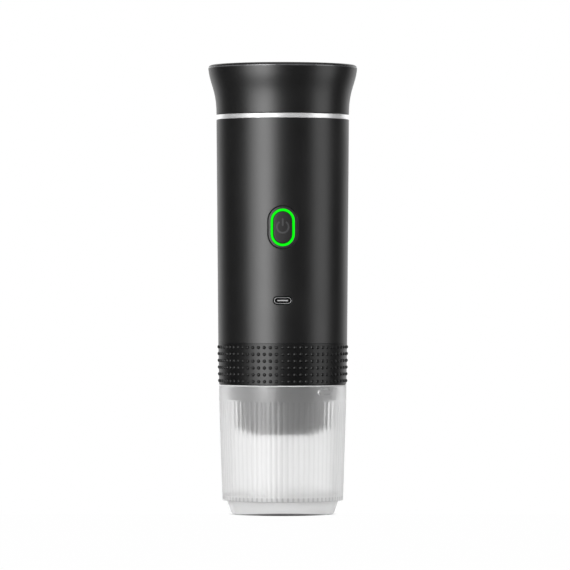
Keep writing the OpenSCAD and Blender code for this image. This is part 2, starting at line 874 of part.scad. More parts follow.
// Upper frame: plate under the heater with columns, board posts, cell cups and the upper hub
module upper_frame() {
    color("#666b72")
    difference() {
        union() {
            tube(upper_z, upper_top, tube_r + 2 * run_gap, frame_r);
            tube(upper_hub_z, upper_mid, hub_r, hub_r + hub_wall);
            cell_cups(upper_z - cell_cup_h, upper_mid);
            around(column_angles, column_r)
            translate([0, 0, lower_top])
            cylinder(h = upper_mid - lower_top, d = column_d);
            for (s = [-1, 1])
                translate([s * post_x - post_w / 2, -board_y, lower_top])
                cube([post_w, post_t, upper_mid - lower_top]);
        }
        around(column_angles, column_r)
        translate([0, 0, lower_top - past])
        cylinder(h = frame_screw_len + past, d = screw_hole_d);
        at_board_screws()
        translate([0, 0, -past])
        cylinder(h = board_screw_len + past, d = screw_hole_d);
    }
}

// Screws from the lower frame into the columns
module frame_screws() {
    color("gray")
    around(column_angles, column_r)
    translate([0, 0, ledge_top + screw_head_hole_h])
    screw(frame_screw_len);
}

// Three battery cells round the pump
module battery_cells() {
    color("#3f6fa8")
    around(cell_angles, cell_ring_r)
    translate([0, 0, cell_z])
    cylinder(h = cell_h, d = cell_d);
}

// Places at the board's four screws, pointing back from the board's front face
module at_board_screws() {
    for (s = [-1, 1], z = [board_z + board_screw_inset, board_top - board_screw_inset])
        translate([s * post_x, -board_front, z])
        rotate([-90, 0, 0])
        children();
}

// Control board behind the button and the port
module control_board() {
    color("#1f5c38")
    difference() {
        on_front(0, board_y, board_front)
        translate([-board_w / 2, board_z])
        square([board_w, board_top - board_z]);
        at_board_screws()
        translate([0, 0, -past])
        cylinder(h = board_t + 2 * past, d = screw_hole_d);
    }
}

// Screws that hold the board to the posts
module board_screws() {
    color("gray")
    at_board_screws()
    screw(board_screw_len);
}

// Case of the switch on the board
module tact_switch() {
    color("#202020")
    difference() {
        on_front(button_z, board_front, switch_front)
        square(switch_w, center = true);
        on_front(button_z, stem_back - button_travel - run_gap, switch_front + past)
        circle(d = switch_stem_d + 2 * slide_gap);
    }
}

// Stem of the switch, which the button pushes
module switch_stem() {
    color("#d8d2c4")
    on_front(button_z, stem_back, flange_back)
    circle(d = switch_stem_d);
}

// Steel shell of the USB-C receptacle
module usb_shell() {
    color("#b8bbc0")
    on_front(port_z, board_front, usb_front)
    difference() {
        pill(usb_w, usb_h);
        pill(usb_in_w, usb_in_h);
    }
}

// Insulator of the receptacle: base block and contact tongue
module usb_tongue() {
    color("#303234") {
        on_front(port_z, board_front, board_front + usb_base)
        pill(usb_in_w - fit_gap, usb_in_h - fit_gap);
        on_front(port_z, board_front + usb_base / 2, tongue_front)
        square([tongue_w, tongue_t], center = true);
    }
}

// Bezel: frame of the button, flanged behind the body's wall
module button_bezel() {
    color("#4a4a4c")
    difference() {
        union() {
            intersection() {
                on_front(button_z, bezel_back, front)
                button_pill(bezel_out_w);
                skin(bezel_inset);
            }
            on_front(button_z, bezel_back, bezel_flange_front)
            button_pill(bezel_flange_w);
        }
        on_front(button_z, light_back, front)
        button_pill(bezel_in_w);
        on_front(button_z, bezel_back - past, front)
        button_pill(bezel_seat_w);
    }
}

// Light ring: the glowing light guide round the button
module light_ring() {
    color("#14e01e")
    intersection() {
        on_front(button_z, light_back, front)
        difference() {
            button_pill(light_out_w);
            button_pill(light_in_w);
        }
        skin(face_inset);
    }
}

// Power button with the flange that keeps it behind the light ring
module power_button() {
    color("#2d2b2c") {
        intersection() {
            on_front(button_z, flange_back, front)
            button_pill(button_w);
            skin(face_inset);
        }
        on_front(button_z, flange_back, flange_front)
        button_pill(flange_w);
    }
}

// Pump yoke: steel can round the coil
module pump_yoke() {
    color("#8f9499")
    rotate_extrude()
    polygon([
        [neck_r + fit_gap / 2, yoke_z],
        [yoke_r, yoke_z],
        [yoke_r, yoke_top],
        [neck_r + fit_gap / 2, yoke_top],
        [neck_r + fit_gap / 2, yoke_top - yoke_t],
        [yoke_r - yoke_t, yoke_top - yoke_t],
        [yoke_r - yoke_t, yoke_z + yoke_t],
        [neck_r + fit_gap / 2, yoke_z + yoke_t]
    ]);
}

// Pump coil inside the yoke
module pump_coil() {
    color("#a5642d")
    tube(yoke_z + yoke_t, yoke_top - yoke_t, neck_r + fit_gap / 2, yoke_r - yoke_t - fit_gap);
}

// Pump cylinder: bore of the plunger, seat of the valve ball and a hose barb at each end
module pump_cylinder() {
    color("#e3dfd2")
    rotate_extrude()
    polygon([
        [channel_d / 2, outlet_barb_z],
        [barb_r, outlet_barb_z],
        [barb_r, neck_z],
        [neck_r, neck_z],
        [neck_r, neck_top],
        [barb_r, neck_top],
        [barb_r, inlet_barb_z],
        [channel_d / 2, inlet_barb_z],
        [channel_d / 2, chamber_top_z],
        [cylinder_r, chamber_top_z],
        [cylinder_r, spring_z],
        [ball_bore_r, spring_z],
        [ball_bore_r, ball_seat_z],
        [channel_d / 2, ball_seat_z]
    ]);
}

// Pump plunger, bored through for the water
module pump_plunger() {
    color("#c4c7cb")
    tube(plunger_z, plunger_top, plunger_hole_d / 2, plunger_d / 2);
}

// Plunger spring: one wire wound round the axis, swept as rings of points
module plunger_spring() {
    sides = 6;
    step = 45;
    rings = spring_turns * 360 / step;
    rise = spring_len - spring_wire_d - 2 * fit_gap;
    points = [
        for (i = [0:rings], j = [0:sides - 1])
            let (turn = i * step, a = j * 360 / sides, r = spring_r + spring_wire_d / 2 * cos(a))
            [r * cos(turn), r * sin(turn),
                spring_z + fit_gap + spring_wire_d / 2 * (1 + sin(a)) + rise * i / rings]
    ];
    walls = [
        for (i = [0:rings - 1], j = [0:sides - 1])
            let (k = (j + 1) % sides, p = i * sides, q = p + sides)
            each [[p + j, q + j, q + k], [p + j, q + k, p + k]]
    ];
    first = [for (j = [1:sides - 2]) [0, j, j + 1]];
    last = [for (j = [1:sides - 2]) let (p = rings * sides) [p, p + j + 1, p + j]];
    color("#d0d3d6")
    polyhedron(points, concat(walls, first, last));
}

// Ball of the pump's outlet valve, on its seat
module pump_valve_ball() {
    color("#b9bcc0")
    translate([0, 0, ball_z])
    sphere(r = ball_r);
}

// Rubber rings that hold the pump's two necks in the hubs
module pump_mounts() {
    color("#1f1f20")
    for (z = [neck_z + run_gap, upper_hub_z + run_gap])
        tube(z, z + mount_h, neck_r + fit_gap / 2, mount_r);
}

// Tube from the tank to the pump
module inlet_tube() {
    color("#d9d6cf")
    tube(neck_top + fit_gap, heater_z - run_gap, tube_in_r, tube_r);
}

// Tube from the pump to the brew group
module outlet_tube() {
    color("#d9d6cf")
    tube(ledge_z + fit_gap, neck_z - fit_gap, tube_in_r, tube_r);
}

// Water tank: drawn steel cup hung by its lip in the body's rebate, with an outlet spigot
module water_tank() {
    color("#c9ccd0")
    rotate_extrude()
    polygon([
        [channel_d / 2, spigot_end_z],
        [barb_r, spigot_end_z],
        [barb_r, tank_z],
        [tank_r, tank_z],
        [tank_r, body_top - tank_t],
        [tank_lip_r, body_top - tank_t],
        [tank_lip_r, body_top],
        [tank_in_r, body_top],
        [tank_in_r, tank_floor_z],
        [channel_d / 2, tank_floor_z]
    ]);
}

// Heater bonded under the tank
module tank_heater() {
    color("#b5482a")
    difference() {
        tube(heater_z, tank_z, heater_in_r, heater_r);
        translate([sensor_x, 0, heater_z - past])
        cylinder(h = heater_t + 2 * past, d = sensor_d + 2 * run_gap);
    }
}

// Temperature sensor that touches the tank through the heater
module temperature_sensor() {
    color("#2a2a2c")
    translate([sensor_x, 0, sensor_z])
    cylinder(h = tank_z - sensor_z, d = sensor_d);
}

// Bright trim ring over the body's upper edge and the tank's lip
module trim_ring() {
    color("#e6e7e9")
    rotate_extrude()
    polygon([
        [tank_r, body_top],
        [body_top_d / 2 - ring_edge, body_top],
        [body_top_d / 2, body_top + ring_edge],
        [body_top_d / 2, ring_top - ring_edge],
        [body_top_d / 2 - ring_edge, ring_top],
        [tank_r, ring_top]
    ]);
}

// Flared cap, hollow from below
module cap_shell() {
    color("#1b1b1d")
    rotate_extrude()
    polygon(concat(
        flare(0, cap_rim_z),
        arc(cap_edge_r, cap_top - cap_edge, cap_edge, -cap_rim_angle, 90, curve_steps),
        [[0, cap_top], [0, cap_top - cap_top_t]],
        reversed(flare(cap_wall, cap_top - cap_top_t))));
}

// Liner: closes the cap from below and plugs the tank
module cap_liner() {
    color("#3a3a3c")
    rotate_extrude()
    polygon([
        [0, plug_z],
        [plug_r, plug_z],
        [plug_r, groove_z],
        [groove_r, groove_z],
        [groove_r, groove_z + groove_h],
        [plug_r, groove_z + groove_h],
        [plug_r, liner_z],
        [liner_r, liner_z],
        [liner_r, liner_z + liner_t],
        [groove_r - plug_wall, liner_z + liner_t],
        [groove_r - plug_wall, plug_z + plug_wall],
        [0, plug_z + plug_wall]
    ]);
}

// Seal round the plug
module cap_seal() {
    color("#d6d3cc")
    rotate_extrude()
    translate([seal_r, groove_z + groove_h / 2])
    circle(d = seal_d);
}

cup();
grip_collar();
brew_chamber();
filter_basket();
crema_valve();
brew_group();
group_gasket();
shower_plate();
group_screws();
body_shell();
lower_frame();
upper_frame();
frame_screws();
battery_cells();
control_board();
board_screws();
tact_switch();
switch_stem();
usb_shell();
usb_tongue();
button_bezel();
light_ring();
power_button();
pump_yoke();
pump_coil();
pump_cylinder();
pump_plunger();
plunger_spring();
pump_valve_ball();
pump_mounts();
inlet_tube();
outlet_tube();
water_tank();
tank_heater();
temperature_sensor();
trim_ring();
cap_shell();
cap_liner();
cap_seal();
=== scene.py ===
from math import cos, pi, radians, sin

import bmesh
import bpy
import numpy as np
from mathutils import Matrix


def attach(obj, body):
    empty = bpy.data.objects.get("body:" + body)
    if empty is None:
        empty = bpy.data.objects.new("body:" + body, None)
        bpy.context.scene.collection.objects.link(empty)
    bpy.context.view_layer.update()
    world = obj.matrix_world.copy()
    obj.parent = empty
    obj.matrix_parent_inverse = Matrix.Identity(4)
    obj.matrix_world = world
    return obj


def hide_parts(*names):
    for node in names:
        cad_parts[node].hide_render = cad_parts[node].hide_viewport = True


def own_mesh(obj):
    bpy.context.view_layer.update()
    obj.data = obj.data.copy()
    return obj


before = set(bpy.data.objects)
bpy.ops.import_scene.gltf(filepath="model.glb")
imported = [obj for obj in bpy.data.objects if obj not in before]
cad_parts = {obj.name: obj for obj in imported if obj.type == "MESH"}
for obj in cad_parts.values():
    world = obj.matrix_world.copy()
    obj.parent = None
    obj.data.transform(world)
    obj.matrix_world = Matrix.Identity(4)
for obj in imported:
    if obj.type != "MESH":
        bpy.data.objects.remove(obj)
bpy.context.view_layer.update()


# Studio: a pale table and white all round. The machine is seen level and straight on through
# a long lens, lit by a broad panel and a strip on the left and a dimmer strip on the right.
# The cup and the trim ring also have lamps of their own, which stand in their sections.
scene = bpy.context.scene
scene.view_settings.view_transform = "Standard"

lens = bpy.data.cameras.new("camera")
lens.sensor_width = 36
lens.lens = 287
camera = bpy.data.objects.new("camera", lens)
camera.location = (0.0012, -2.4, 0.1206)
camera.rotation_euler = (pi / 2, 0, 0)
scene.collection.objects.link(camera)
scene.camera = camera


def add(tree, kind, inputs=(), **settings):
    """Adds one shader node; inputs maps a socket's name or number to a value or the output that feeds it."""
    node = tree.nodes.new("ShaderNode" + kind)
    for key, value in settings.items():
        setattr(node, key, value)
    for key, value in dict(inputs).items():
        if isinstance(value, bpy.types.NodeSocket):
            tree.links.new(value, node.inputs[key])
        else:
            node.inputs[key].default_value = value
    return node


def ramp(tree, value, start, end, low=0.0, high=1.0, smooth=False):
    """Output that goes from low to high while a value goes from start to end, and stays there past both."""
    inputs = {"Value": value, "From Min": start, "From Max": end, "To Min": low, "To Max": high}
    return add(tree, "MapRange", inputs, interpolation_type="SMOOTHSTEP" if smooth else "LINEAR").outputs[0]


def reckon(tree, operation, *values, clamp=False):
    """Output of one sum on values and outputs, kept between 0 and 1 if clamp is set."""
    return add(tree, "Math", dict(enumerate(values)), operation=operation, use_clamp=clamp).outputs[0]


# The room is bright behind the machine and over it, and dim elsewhere. The camera sees it
# white, and so do rays that go on through the cup.
world = bpy.data.worlds.new("white_room")
scene.world = world
world.use_nodes = True
tree = world.node_tree
tree.nodes.clear()
look = add(tree, "TexCoord")
way = add(tree, "SeparateXYZ", {0: look.outputs["Generated"]})
behind = ramp(tree, way.outputs["Y"], 0.46, 0.97, low=0.025, smooth=True)
over = ramp(tree, way.outputs["Z"], 0.72, 0.97, high=0.6, smooth=True)
room = reckon(tree, "MAXIMUM", behind, over)
ray = add(tree, "LightPath")
rear = ramp(tree, way.outputs["Y"], -0.35, 0.15)
through = reckon(tree, "MULTIPLY", ray.outputs["Is Transmission Ray"], rear)
seen = reckon(tree, "MAXIMUM", ray.outputs["Is Camera Ray"], through)
level = reckon(tree, "MAXIMUM", room, seen)
sky = add(tree, "Background", {"Color": (1, 1, 1, 1), "Strength": level})
add(tree, "OutputWorld", {"Surface": sky.outputs[0]})


def strip_light(name, azimuth, distance, centre_z, width, height, radiance, pieces=None):
    """Upright soft box that faces the axis; its power gives the stated radiance over its face.

    With a collection of pieces, it lights only those."""
    lamp = bpy.data.lights.new(name, "AREA")
    lamp.shape = "RECTANGLE"
    lamp.size, lamp.size_y = width, height
    lamp.energy = radiance * pi * width * height
    box = bpy.data.objects.new(name, lamp)
    turn = radians(azimuth)
    box.location = (distance * sin(turn), -distance * cos(turn), centre_z)
    box.rotation_euler = (pi / 2, 0, turn)
    scene.collection.objects.link(box)
    if pieces is not None:
        box.light_linking.receiver_collection = pieces


lamp_z, lamp_h = 0.35, 1.9
strip_light("panel_left", -36, distance=1.55, centre_z=lamp_z, width=1.4, height=lamp_h, radiance=1.8)
strip_light("strip_left", -32, distance=1.42, centre_z=lamp_z, width=0.58, height=lamp_h, radiance=2.0)
strip_light("strip_right", 71, distance=1.5, centre_z=lamp_z, width=0.85, height=lamp_h, radiance=1.15)

# The camera sees the table white but for the shade under the front of the foot, where the lit paper
# shows with a painted shade from ambient occlusion in its colour. Shadow rays and reflections pass through
# it.
mm = 0.001
table_half, table_z = 4.0, -0.02 * mm
shade_in, shade_out, shade_front, shade_back = 26.5 * mm, 30 * mm, -10 * mm, -2 * mm
table_corners = [(-table_half, -table_half, table_z), (table_half, -table_half, table_z),
                 (table_half, table_half, table_z), (-table_half, table_half, table_z)]
table_mesh = bpy.data.meshes.new("table")
table_mesh.from_pydata(table_corners, [], [(0, 1, 2, 3)])
table = bpy.data.objects.new("table", table_mesh)
scene.collection.objects.link(table)
paper = bpy.data.materials.new("table_paper")
paper.use_nodes = True
tree = paper.node_tree
tree.nodes.clear()
look = add(tree, "TexCoord")
place = add(tree, "SeparateXYZ", {0: look.outputs["Object"]})
far = add(tree, "VectorMath", {0: look.outputs["Object"]}, operation="LENGTH")
under = ramp(tree, far.outputs["Value"], shade_in, shade_out, 1.0, 0.01, smooth=True)
front = ramp(tree, place.outputs["Y"], shade_front, shade_back, 1.0, 0.0)
dark = reckon(tree, "MULTIPLY", under, front)
clear = reckon(tree, "SUBTRACT", 1.0, dark)
ray = add(tree, "LightPath")
direct = reckon(tree, "MULTIPLY", ray.outputs["Is Camera Ray"], clear)
white = reckon(tree, "MAXIMUM", direct, ray.outputs["Is Transmission Ray"])
# Painted shade: ambient occlusion darkens the paper's colour under the foot.
near = add(tree, "AmbientOcclusion", {"Distance": 30 * mm}, samples=16)
shade = ramp(tree, near.outputs["AO"], 0.0, 1.0, 0.1, 0.92)
lit = add(tree, "BsdfDiffuse", {"Color": shade})
bright = add(tree, "Emission", {"Color": (1, 1, 1, 1), "Strength": 1.0})
both = add(tree, "MixShader", {0: white, 1: lit.outputs[0], 2: bright.outputs[0]})
gloss = reckon(tree, "SUBTRACT", ray.outputs["Is Glossy Ray"], ray.outputs["Is Transmission Ray"], clamp=True)
passing = reckon(tree, "MAXIMUM", gloss, ray.outputs["Is Shadow Ray"])
open_air = add(tree, "BsdfTransparent")
floor = add(tree, "MixShader", {0: passing, 1: both.outputs[0], 2: open_air.outputs[0]})
add(tree, "OutputMaterial", {"Surface": floor.outputs[0]})
table_mesh.materials.append(paper)


# Cup: the drinking cup that the machine travels and stands on, moulded in one shot from
# frosted clear plastic. The wall is fluted, the foot and the collar are smooth, and the collar
# has a flat-topped bead on its right. The mould left the lip and the bead's edge matte.
def rounded(corners, steps=4):
    """Outline from rows of r, z and ease: a parabola cuts each corner from ease before to ease after it."""
    rows = np.array(corners, float)
    p, ease = rows[:, :2], rows[:, 2:]
    back, on = np.roll(p, 1, 0) - p, np.roll(p, -1, 0) - p
    first = p + back * np.minimum(ease / np.linalg.norm(back, axis=1, keepdims=True), 0.48)
    last = p + on * np.minimum(ease / np.linalg.norm(on, axis=1, keepdims=True), 0.48)
    t = np.linspace(0, 1, steps + 1)[None, :, None]
    line = (1 - t) ** 2 * first[:, None] + 2 * t * (1 - t) * p[:, None] + t ** 2 * last[:, None]
    line = line.reshape(-1, 2)
    apart = np.linalg.norm(line - np.roll(line, 1, 0), axis=1) > 1e-6
    apart[0] = True
    return line[apart]


def patch(radius_at, z_mid, turn_mid, edge, spine, profile):
    """Rings of points from a round-ended slot or pad out to a four-sided edge on a turned wall.

    Each edge point (x, z) finds its nearest point on the slot's spine, and the direction from there to the
    edge leads outwards. The profile's rows give how far out each ring lies from the spine and how far it
    drops behind the wall; more rings go straight on to the edge. y follows from x and the wall's radius."""
    near = np.clip(edge, -np.array(spine), np.array(spine))
    way = edge - near
    way /= np.linalg.norm(way, axis=1, keepdims=True)
    out, drop = np.array(profile, float).T
    lip = near + out[:, None, None] * way
    t = np.array([0.12, 0.3, 0.55, 0.78, 1.0])[:, None, None]
    flat = np.concatenate([lip, (1 - t) * lip[-1] + t * edge])
    drop = np.concatenate([drop, np.zeros(len(t))])[:, None]
    x, z = flat[..., 0], flat[..., 1] + z_mid
    y = -np.sqrt(radius_at(z) ** 2 - x ** 2) + drop
    c, s = np.cos(turn_mid), np.sin(turn_mid)
    return np.stack([c * x - s * y, s * x + c * y, z], -1)


def ring_quads(count, around, start, wrap=False):
    """Quads of a grid of rings: each joins a point, its next one round, and the two on the next ring."""
    grid = start + np.arange(count * around).reshape(count, around)
    upper = np.roll(grid, -1, 0) if wrap else grid[1:]
    lower = grid if wrap else grid[:-1]
    return np.stack([lower, np.roll(lower, -1, 1), np.roll(upper, -1, 1), upper], -1)


def turned(outline, turns, slots=(), radius=None, wrap=False):
    """Outline (r, z) carried round the axis: x = r sin a, y = -r cos a, so that angle 0 is the front.

    radius, if given, is r for every row and column. A slot names the columns that it takes out and, for each
    face of the wall, the rows and the profile of the patch put in instead; a wall joins the patches of two
    faces."""
    rows, z = len(outline), outline[:, 1]
    r = np.repeat(outline[:, :1], len(turns), 1) if radius is None else radius
    grid = np.stack([r * np.sin(turns), -r * np.cos(turns), np.repeat(z[:, None], len(turns), 1)], -1)
    points = [grid.reshape(-1, 3)]
    quads = ring_quads(rows, len(turns), 0, wrap)
    keep = np.ones(quads.shape[:2], bool)
    extra, total = [], len(points[0])
    for slot in slots:
        lips = []
        for low, high, profile in slot["faces"]:
            first, last = min(low, high), max(low, high)
            c0, c1 = slot["columns"]
            keep[first:last, c0:c1] = False
            step = 1 if high > low else -1
            side = np.arange(low, high + step, step)
            loop_rows = np.concatenate([np.full(c1 - c0, low), side[:-1],
                                        np.full(c1 - c0, high), side[:0:-1]])
            loop_cols = np.concatenate([np.arange(c0, c1), np.full(len(side) - 1, c1),
                                        np.arange(c1, c0, -1), np.full(len(side) - 1, c0)])
            band = outline[first:last + 1]
            band = band[np.argsort(band[:, 1])]
            edge = np.stack([outline[loop_rows, 0] * np.sin(turns[loop_cols] - slot["turn"]),
                             z[loop_rows] - slot["z"]], -1)
            rings = patch(lambda h: np.interp(h, band[:, 1], band[:, 0]), slot["z"], slot["turn"], edge,
                          slot["spine"], profile)
            lips.append(rings[0])
            points.append(rings.reshape(-1, 3))
            extra.append(ring_quads(rings.shape[0], rings.shape[1], total).reshape(-1, 4))
            total += rings.shape[0] * rings.shape[1]
        if len(lips) == 2:
            points.append(np.concatenate(lips))
            extra.append(ring_quads(2, len(lips[0]), total).reshape(-1, 4))
            total += 2 * len(lips[0])
    return np.concatenate(points), np.concatenate([quads[keep]] + extra)


def make(name, surfaces, material, body, nodes=(), sharp=32):
    """Joins surfaces (points in mm, quads) in one mesh, closes seams and poles, and hangs it on its body."""
    starts = np.cumsum([0] + [len(points) for points, quads in surfaces])
    points = np.concatenate([points for points, quads in surfaces]) / 1000
    quads = np.concatenate([quads.reshape(-1, 4) + start for (points, quads), start in zip(surfaces, starts)])
    used, quads = np.unique(quads, return_inverse=True)
    mesh = bpy.data.meshes.new(name)
    mesh.from_pydata(points[used].tolist(), [], quads.reshape(-1, 4).tolist())
    work = bmesh.new()
    work.from_mesh(mesh)
    bmesh.ops.remove_doubles(work, verts=work.verts, dist=1e-6)
    bmesh.ops.dissolve_degenerate(work, edges=work.edges, dist=1e-7)
    bmesh.ops.recalc_face_normals(work, faces=work.faces)
    work.to_mesh(mesh)
    work.free()
    mesh.polygons.foreach_set("use_smooth", np.ones(len(mesh.polygons), bool))
    mesh.set_sharp_from_angle(angle=radians(sharp))
    mesh.materials.append(material)
    piece = bpy.data.objects.new(name, mesh)
    scene.collection.objects.link(piece)
    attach(piece, body)
    if nodes:
        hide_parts(*nodes)
    return piece


# The grain of a moulded, blasted or drawn face, shared by all finishes: fine specks for the
# bump, which can be drawn out one way, and soft clouds for the tone and the gloss.
grain = bpy.data.node_groups.new("surface_grain", "ShaderNodeTree")
for name, kind in (("Speck Scale", "Float"), ("Cloud Scale", "Float"), ("Stretch", "Vector")):
    grain.interface.new_socket(name, in_out="INPUT", socket_type="NodeSocket" + kind)
for name in ("Speck", "Cloud"):
    grain.interface.new_socket(name, in_out="OUTPUT", socket_type="NodeSocketFloat")
grain_in = grain.nodes.new("NodeGroupInput")
look = add(grain, "TexCoord")
drawn = add(grain, "VectorMath", {0: look.outputs["Object"], 1: grain_in.outputs["Stretch"]},
            operation="MULTIPLY")
speck = add(grain, "TexNoise", {"Vector": drawn.outputs[0], "Scale": grain_in.outputs["Speck Scale"],
                                "Detail": 3.0, "Roughness": 0.6})
cloud = add(grain, "TexNoise", {"Vector": look.outputs["Object"], "Scale": grain_in.outputs["Cloud Scale"],
                                "Detail": 4.0, "Roughness": 0.55})
grain_out = grain.nodes.new("NodeGroupOutput")
grain.links.new(speck.outputs[0], grain_out.inputs["Speck"])
grain.links.new(cloud.outputs[0], grain_out.inputs["Cloud"])
cloud_low, cloud_high = 0.3, 0.7


def tones(tree, value, dark, light, start=0.0, end=1.0):
    """Output of a colour that goes from dark to light while a value goes from start to end."""
    node = add(tree, "ValToRGB", {0: value})
    for stop, position, colour in zip(node.color_ramp.elements, (start, end), (dark, light)):
        stop.position = position
        stop.color = (*colour, 1)
    return node.outputs[0]


def tinted(tree, mask, base, colour):
    """Output of a colour that turns from base to the one given as the mask goes from 0 to 1."""
    return add(tree, "MixRGB", {0: mask, 1: base, 2: (*colour, 1)}).outputs[0]


def finish(name, dark, light, rough, speck=2600, cloud=60, bump=0.05, depth=0.00004, stretch=(1, 1, 1),
           **shader):
    """Principled finish whose colour runs from dark to light and whose gloss runs over rough with the clouds
    of the grain, and whose bump is its specks; shader sets further sockets that are the same all over.

    Its nodes for the grain, the colour and the gloss are named marks, tone and gloss."""
    material = bpy.data.materials.new(name)
    material.use_nodes = True
    tree = material.node_tree
    tree.nodes.clear()
    marks = add(tree, "Group", node_tree=grain, name="marks")
    marks.inputs["Speck Scale"].default_value = speck
    marks.inputs["Cloud Scale"].default_value = cloud
    marks.inputs["Stretch"].default_value = stretch
    tone = tones(tree, marks.outputs["Cloud"], dark, light, cloud_low, cloud_high)
    tone.node.name = "tone"
    gloss = ramp(tree, marks.outputs["Cloud"], cloud_low, cloud_high, *rough)
    gloss.node.name = "gloss"
    relief = add(tree, "Bump", {"Strength": bump, "Distance": depth, "Height": marks.outputs["Speck"]})
    body = add(tree, "BsdfPrincipled", {"Base Color": tone, "Roughness": gloss, "Normal": relief.outputs[0]})
    for socket, value in shader.items():
        body.inputs[socket.replace("_", " ")].default_value = value
    add(tree, "OutputMaterial", {"Surface": body.outputs[0]})
    return material


def feed(material, **outputs):
    """Feeds sockets of a finish's shader from outputs of other nodes."""
    tree = material.node_tree
    for socket, output in outputs.items():
        tree.links.new(output, tree.nodes["Principled BSDF"].inputs[socket.replace("_", " ")])


full_turn = np.linspace(-pi, pi, 193)[:-1]
cup_foot_r, cup_foot_top_r, cup_foot_h = 26.9, 29.4, 7.1
foot_bore_r, foot_bore_top_r = 24.9, 27.19
cup_shoulder_r, cup_mouth_r, cup_bore_r, cup_floor_r = 31.8, 33.6, 30.6, 28.88
cup_collar_z, lip_z, cup_h = 61.0, 67.55, 68.1
cup_floor_under, cup_floor = 6.5, 9.6
cup_taper = (cup_mouth_r - cup_shoulder_r) / (cup_collar_z - cup_foot_h)
flutes, flute_depth, flute_half, flute_end, flute_fade = 72, 0.1, 0.7, 60.0, 1.1
bead_z, bead_angle, bead_half_angle = 64.55, 40.0, 12.5
bead_spine, bead_reach, bead_rise, bead_round, bead_margin = 2.75, 1.5, 1.1, 0.48, 2.25


def cup_cone(z):
    """Radius of the cup's fluted wall: a straight line from the shoulder to the collar."""
    return cup_shoulder_r + (z - cup_foot_h) * cup_taper


fade_rows = flute_end - np.array([flute_fade, 0.9, 0.6, 0.3, 0])
bead_rows = np.linspace(bead_z - bead_margin, bead_z + bead_margin, 7)
cup_outline = rounded(
    [(0, cup_floor_under, 0), (foot_bore_top_r, cup_floor_under, 0.5), (foot_bore_r, 0, 0.3),
     (cup_foot_r, 0, 0.7), (cup_foot_top_r, cup_foot_h, 0.25), (cup_shoulder_r, cup_foot_h, 0.4)]
    + [(cup_cone(z), z, 0) for z in fade_rows]
    + [(cup_mouth_r, cup_collar_z, 0.2)]
    + [(cup_mouth_r, z, 0) for z in bead_rows]
    + [(cup_mouth_r, lip_z, 0), (cup_bore_r, lip_z, 0), (cup_bore_r, cup_collar_z, 0.5),
       (cup_floor_r, cup_floor, 3.0), (0, cup_floor, 0)], steps=5)

# A flute is an arc cut into the cone, with a flat before the next. It gets shallower over the
# last stretch and ends below the collar.
pitch = 2 * pi / flutes
flute_across = flute_half * np.array([-1, -0.79, -0.43, 0, 0.43, 0.79, 1])
flute_turns = np.append(flute_across / ((cup_shoulder_r + cup_mouth_r) / 2), pitch / 2)
cup_turns = (np.arange(-flutes // 2, flutes // 2)[:, None] * pitch + flute_turns).ravel()
flute_r = (flute_half ** 2 + flute_depth ** 2) / (2 * flute_depth)
hollow = np.append(np.sqrt(flute_r ** 2 - flute_across ** 2) - flute_r + flute_depth, 0)
hollow = np.tile(hollow, flutes)
cup_z = cup_outline[:, 1]
fade = np.clip((flute_end - cup_z) / flute_fade, 0, 1)
fade = fade * fade * (3 - 2 * fade)
outside = np.arange(len(cup_outline)) < np.argmax(cup_z)
outside &= (cup_z > cup_foot_h - 1e-6) & (cup_z < flute_end + 1e-6)
scalloped = np.minimum(cup_outline[:, :1], cup_cone(cup_z)[:, None] - hollow * fade[:, None])
cup_radius = np.where(outside[:, None], scalloped, cup_outline[:, :1])


def row_at(outline, r, z):
    """Row of an outline that is nearest to a point."""
    return int(np.argmin(np.hypot(outline[:, 0] - r, outline[:, 1] - z)))


def column_at(turns, angle):
    """Column whose angle is nearest to the one given in degrees."""
    return int(np.argmin(np.abs(turns - radians(angle))))


def bead_flank(turn):
    """Reach from the bead's spine and drop behind the wall at a turn from 0 to a quarter circle: a
    superellipse, flat on top and round at its edge."""
    return bead_reach * np.sin(turn) ** bead_round, -bead_rise * np.cos(turn).clip(0) ** bead_round


bend = np.linspace(0, pi / 2, 9)
bead_ends = [row_at(cup_outline, cup_mouth_r, row) for row in (bead_rows[0], bead_rows[-1])]
bead = {"z": bead_z, "turn": radians(bead_angle), "spine": (bead_spine, 0),
        "columns": (column_at(cup_turns, bead_angle - bead_half_angle),
                    column_at(cup_turns, bead_angle + bead_half_angle)),
        "faces": [(*bead_ends, np.stack(bead_flank(bend), -1))]}
frosted = finish("frosted_plastic", (0.965, 0.965, 0.965), (0.985, 0.985, 0.985), (0.28, 0.295), speck=900,
                 cloud=45, bump=0.01, depth=0.00003, IOR=1.47, Transmission_Weight=0.91, Coat_Weight=0.3,
                 Coat_Roughness=0.2)
tree = frosted.node_tree
look = add(tree, "TexCoord")
place = add(tree, "SeparateXYZ", {0: look.outputs["Object"]})
level = add(tree, "VectorMath", {0: look.outputs["Object"], 1: (1, 1, 0)}, operation="MULTIPLY")
reach = add(tree, "VectorMath", {0: level.outputs[0]}, operation="LENGTH").outputs["Value"]

# Inside, the plastic is hazed at the floor and polished above it.
inner = ramp(tree, reach, (cup_bore_r + 0.2) * mm, (cup_bore_r + 0.8) * mm, 1.0, 0.0)
haze = ramp(tree, place.outputs["Z"], (cup_floor - 2.1) * mm, (cup_floor + 1.9) * mm, 0.3, -0.2, smooth=True)
blur = reckon(tree, "MULTIPLY_ADD", haze, inner, tree.nodes["gloss"].outputs[0])
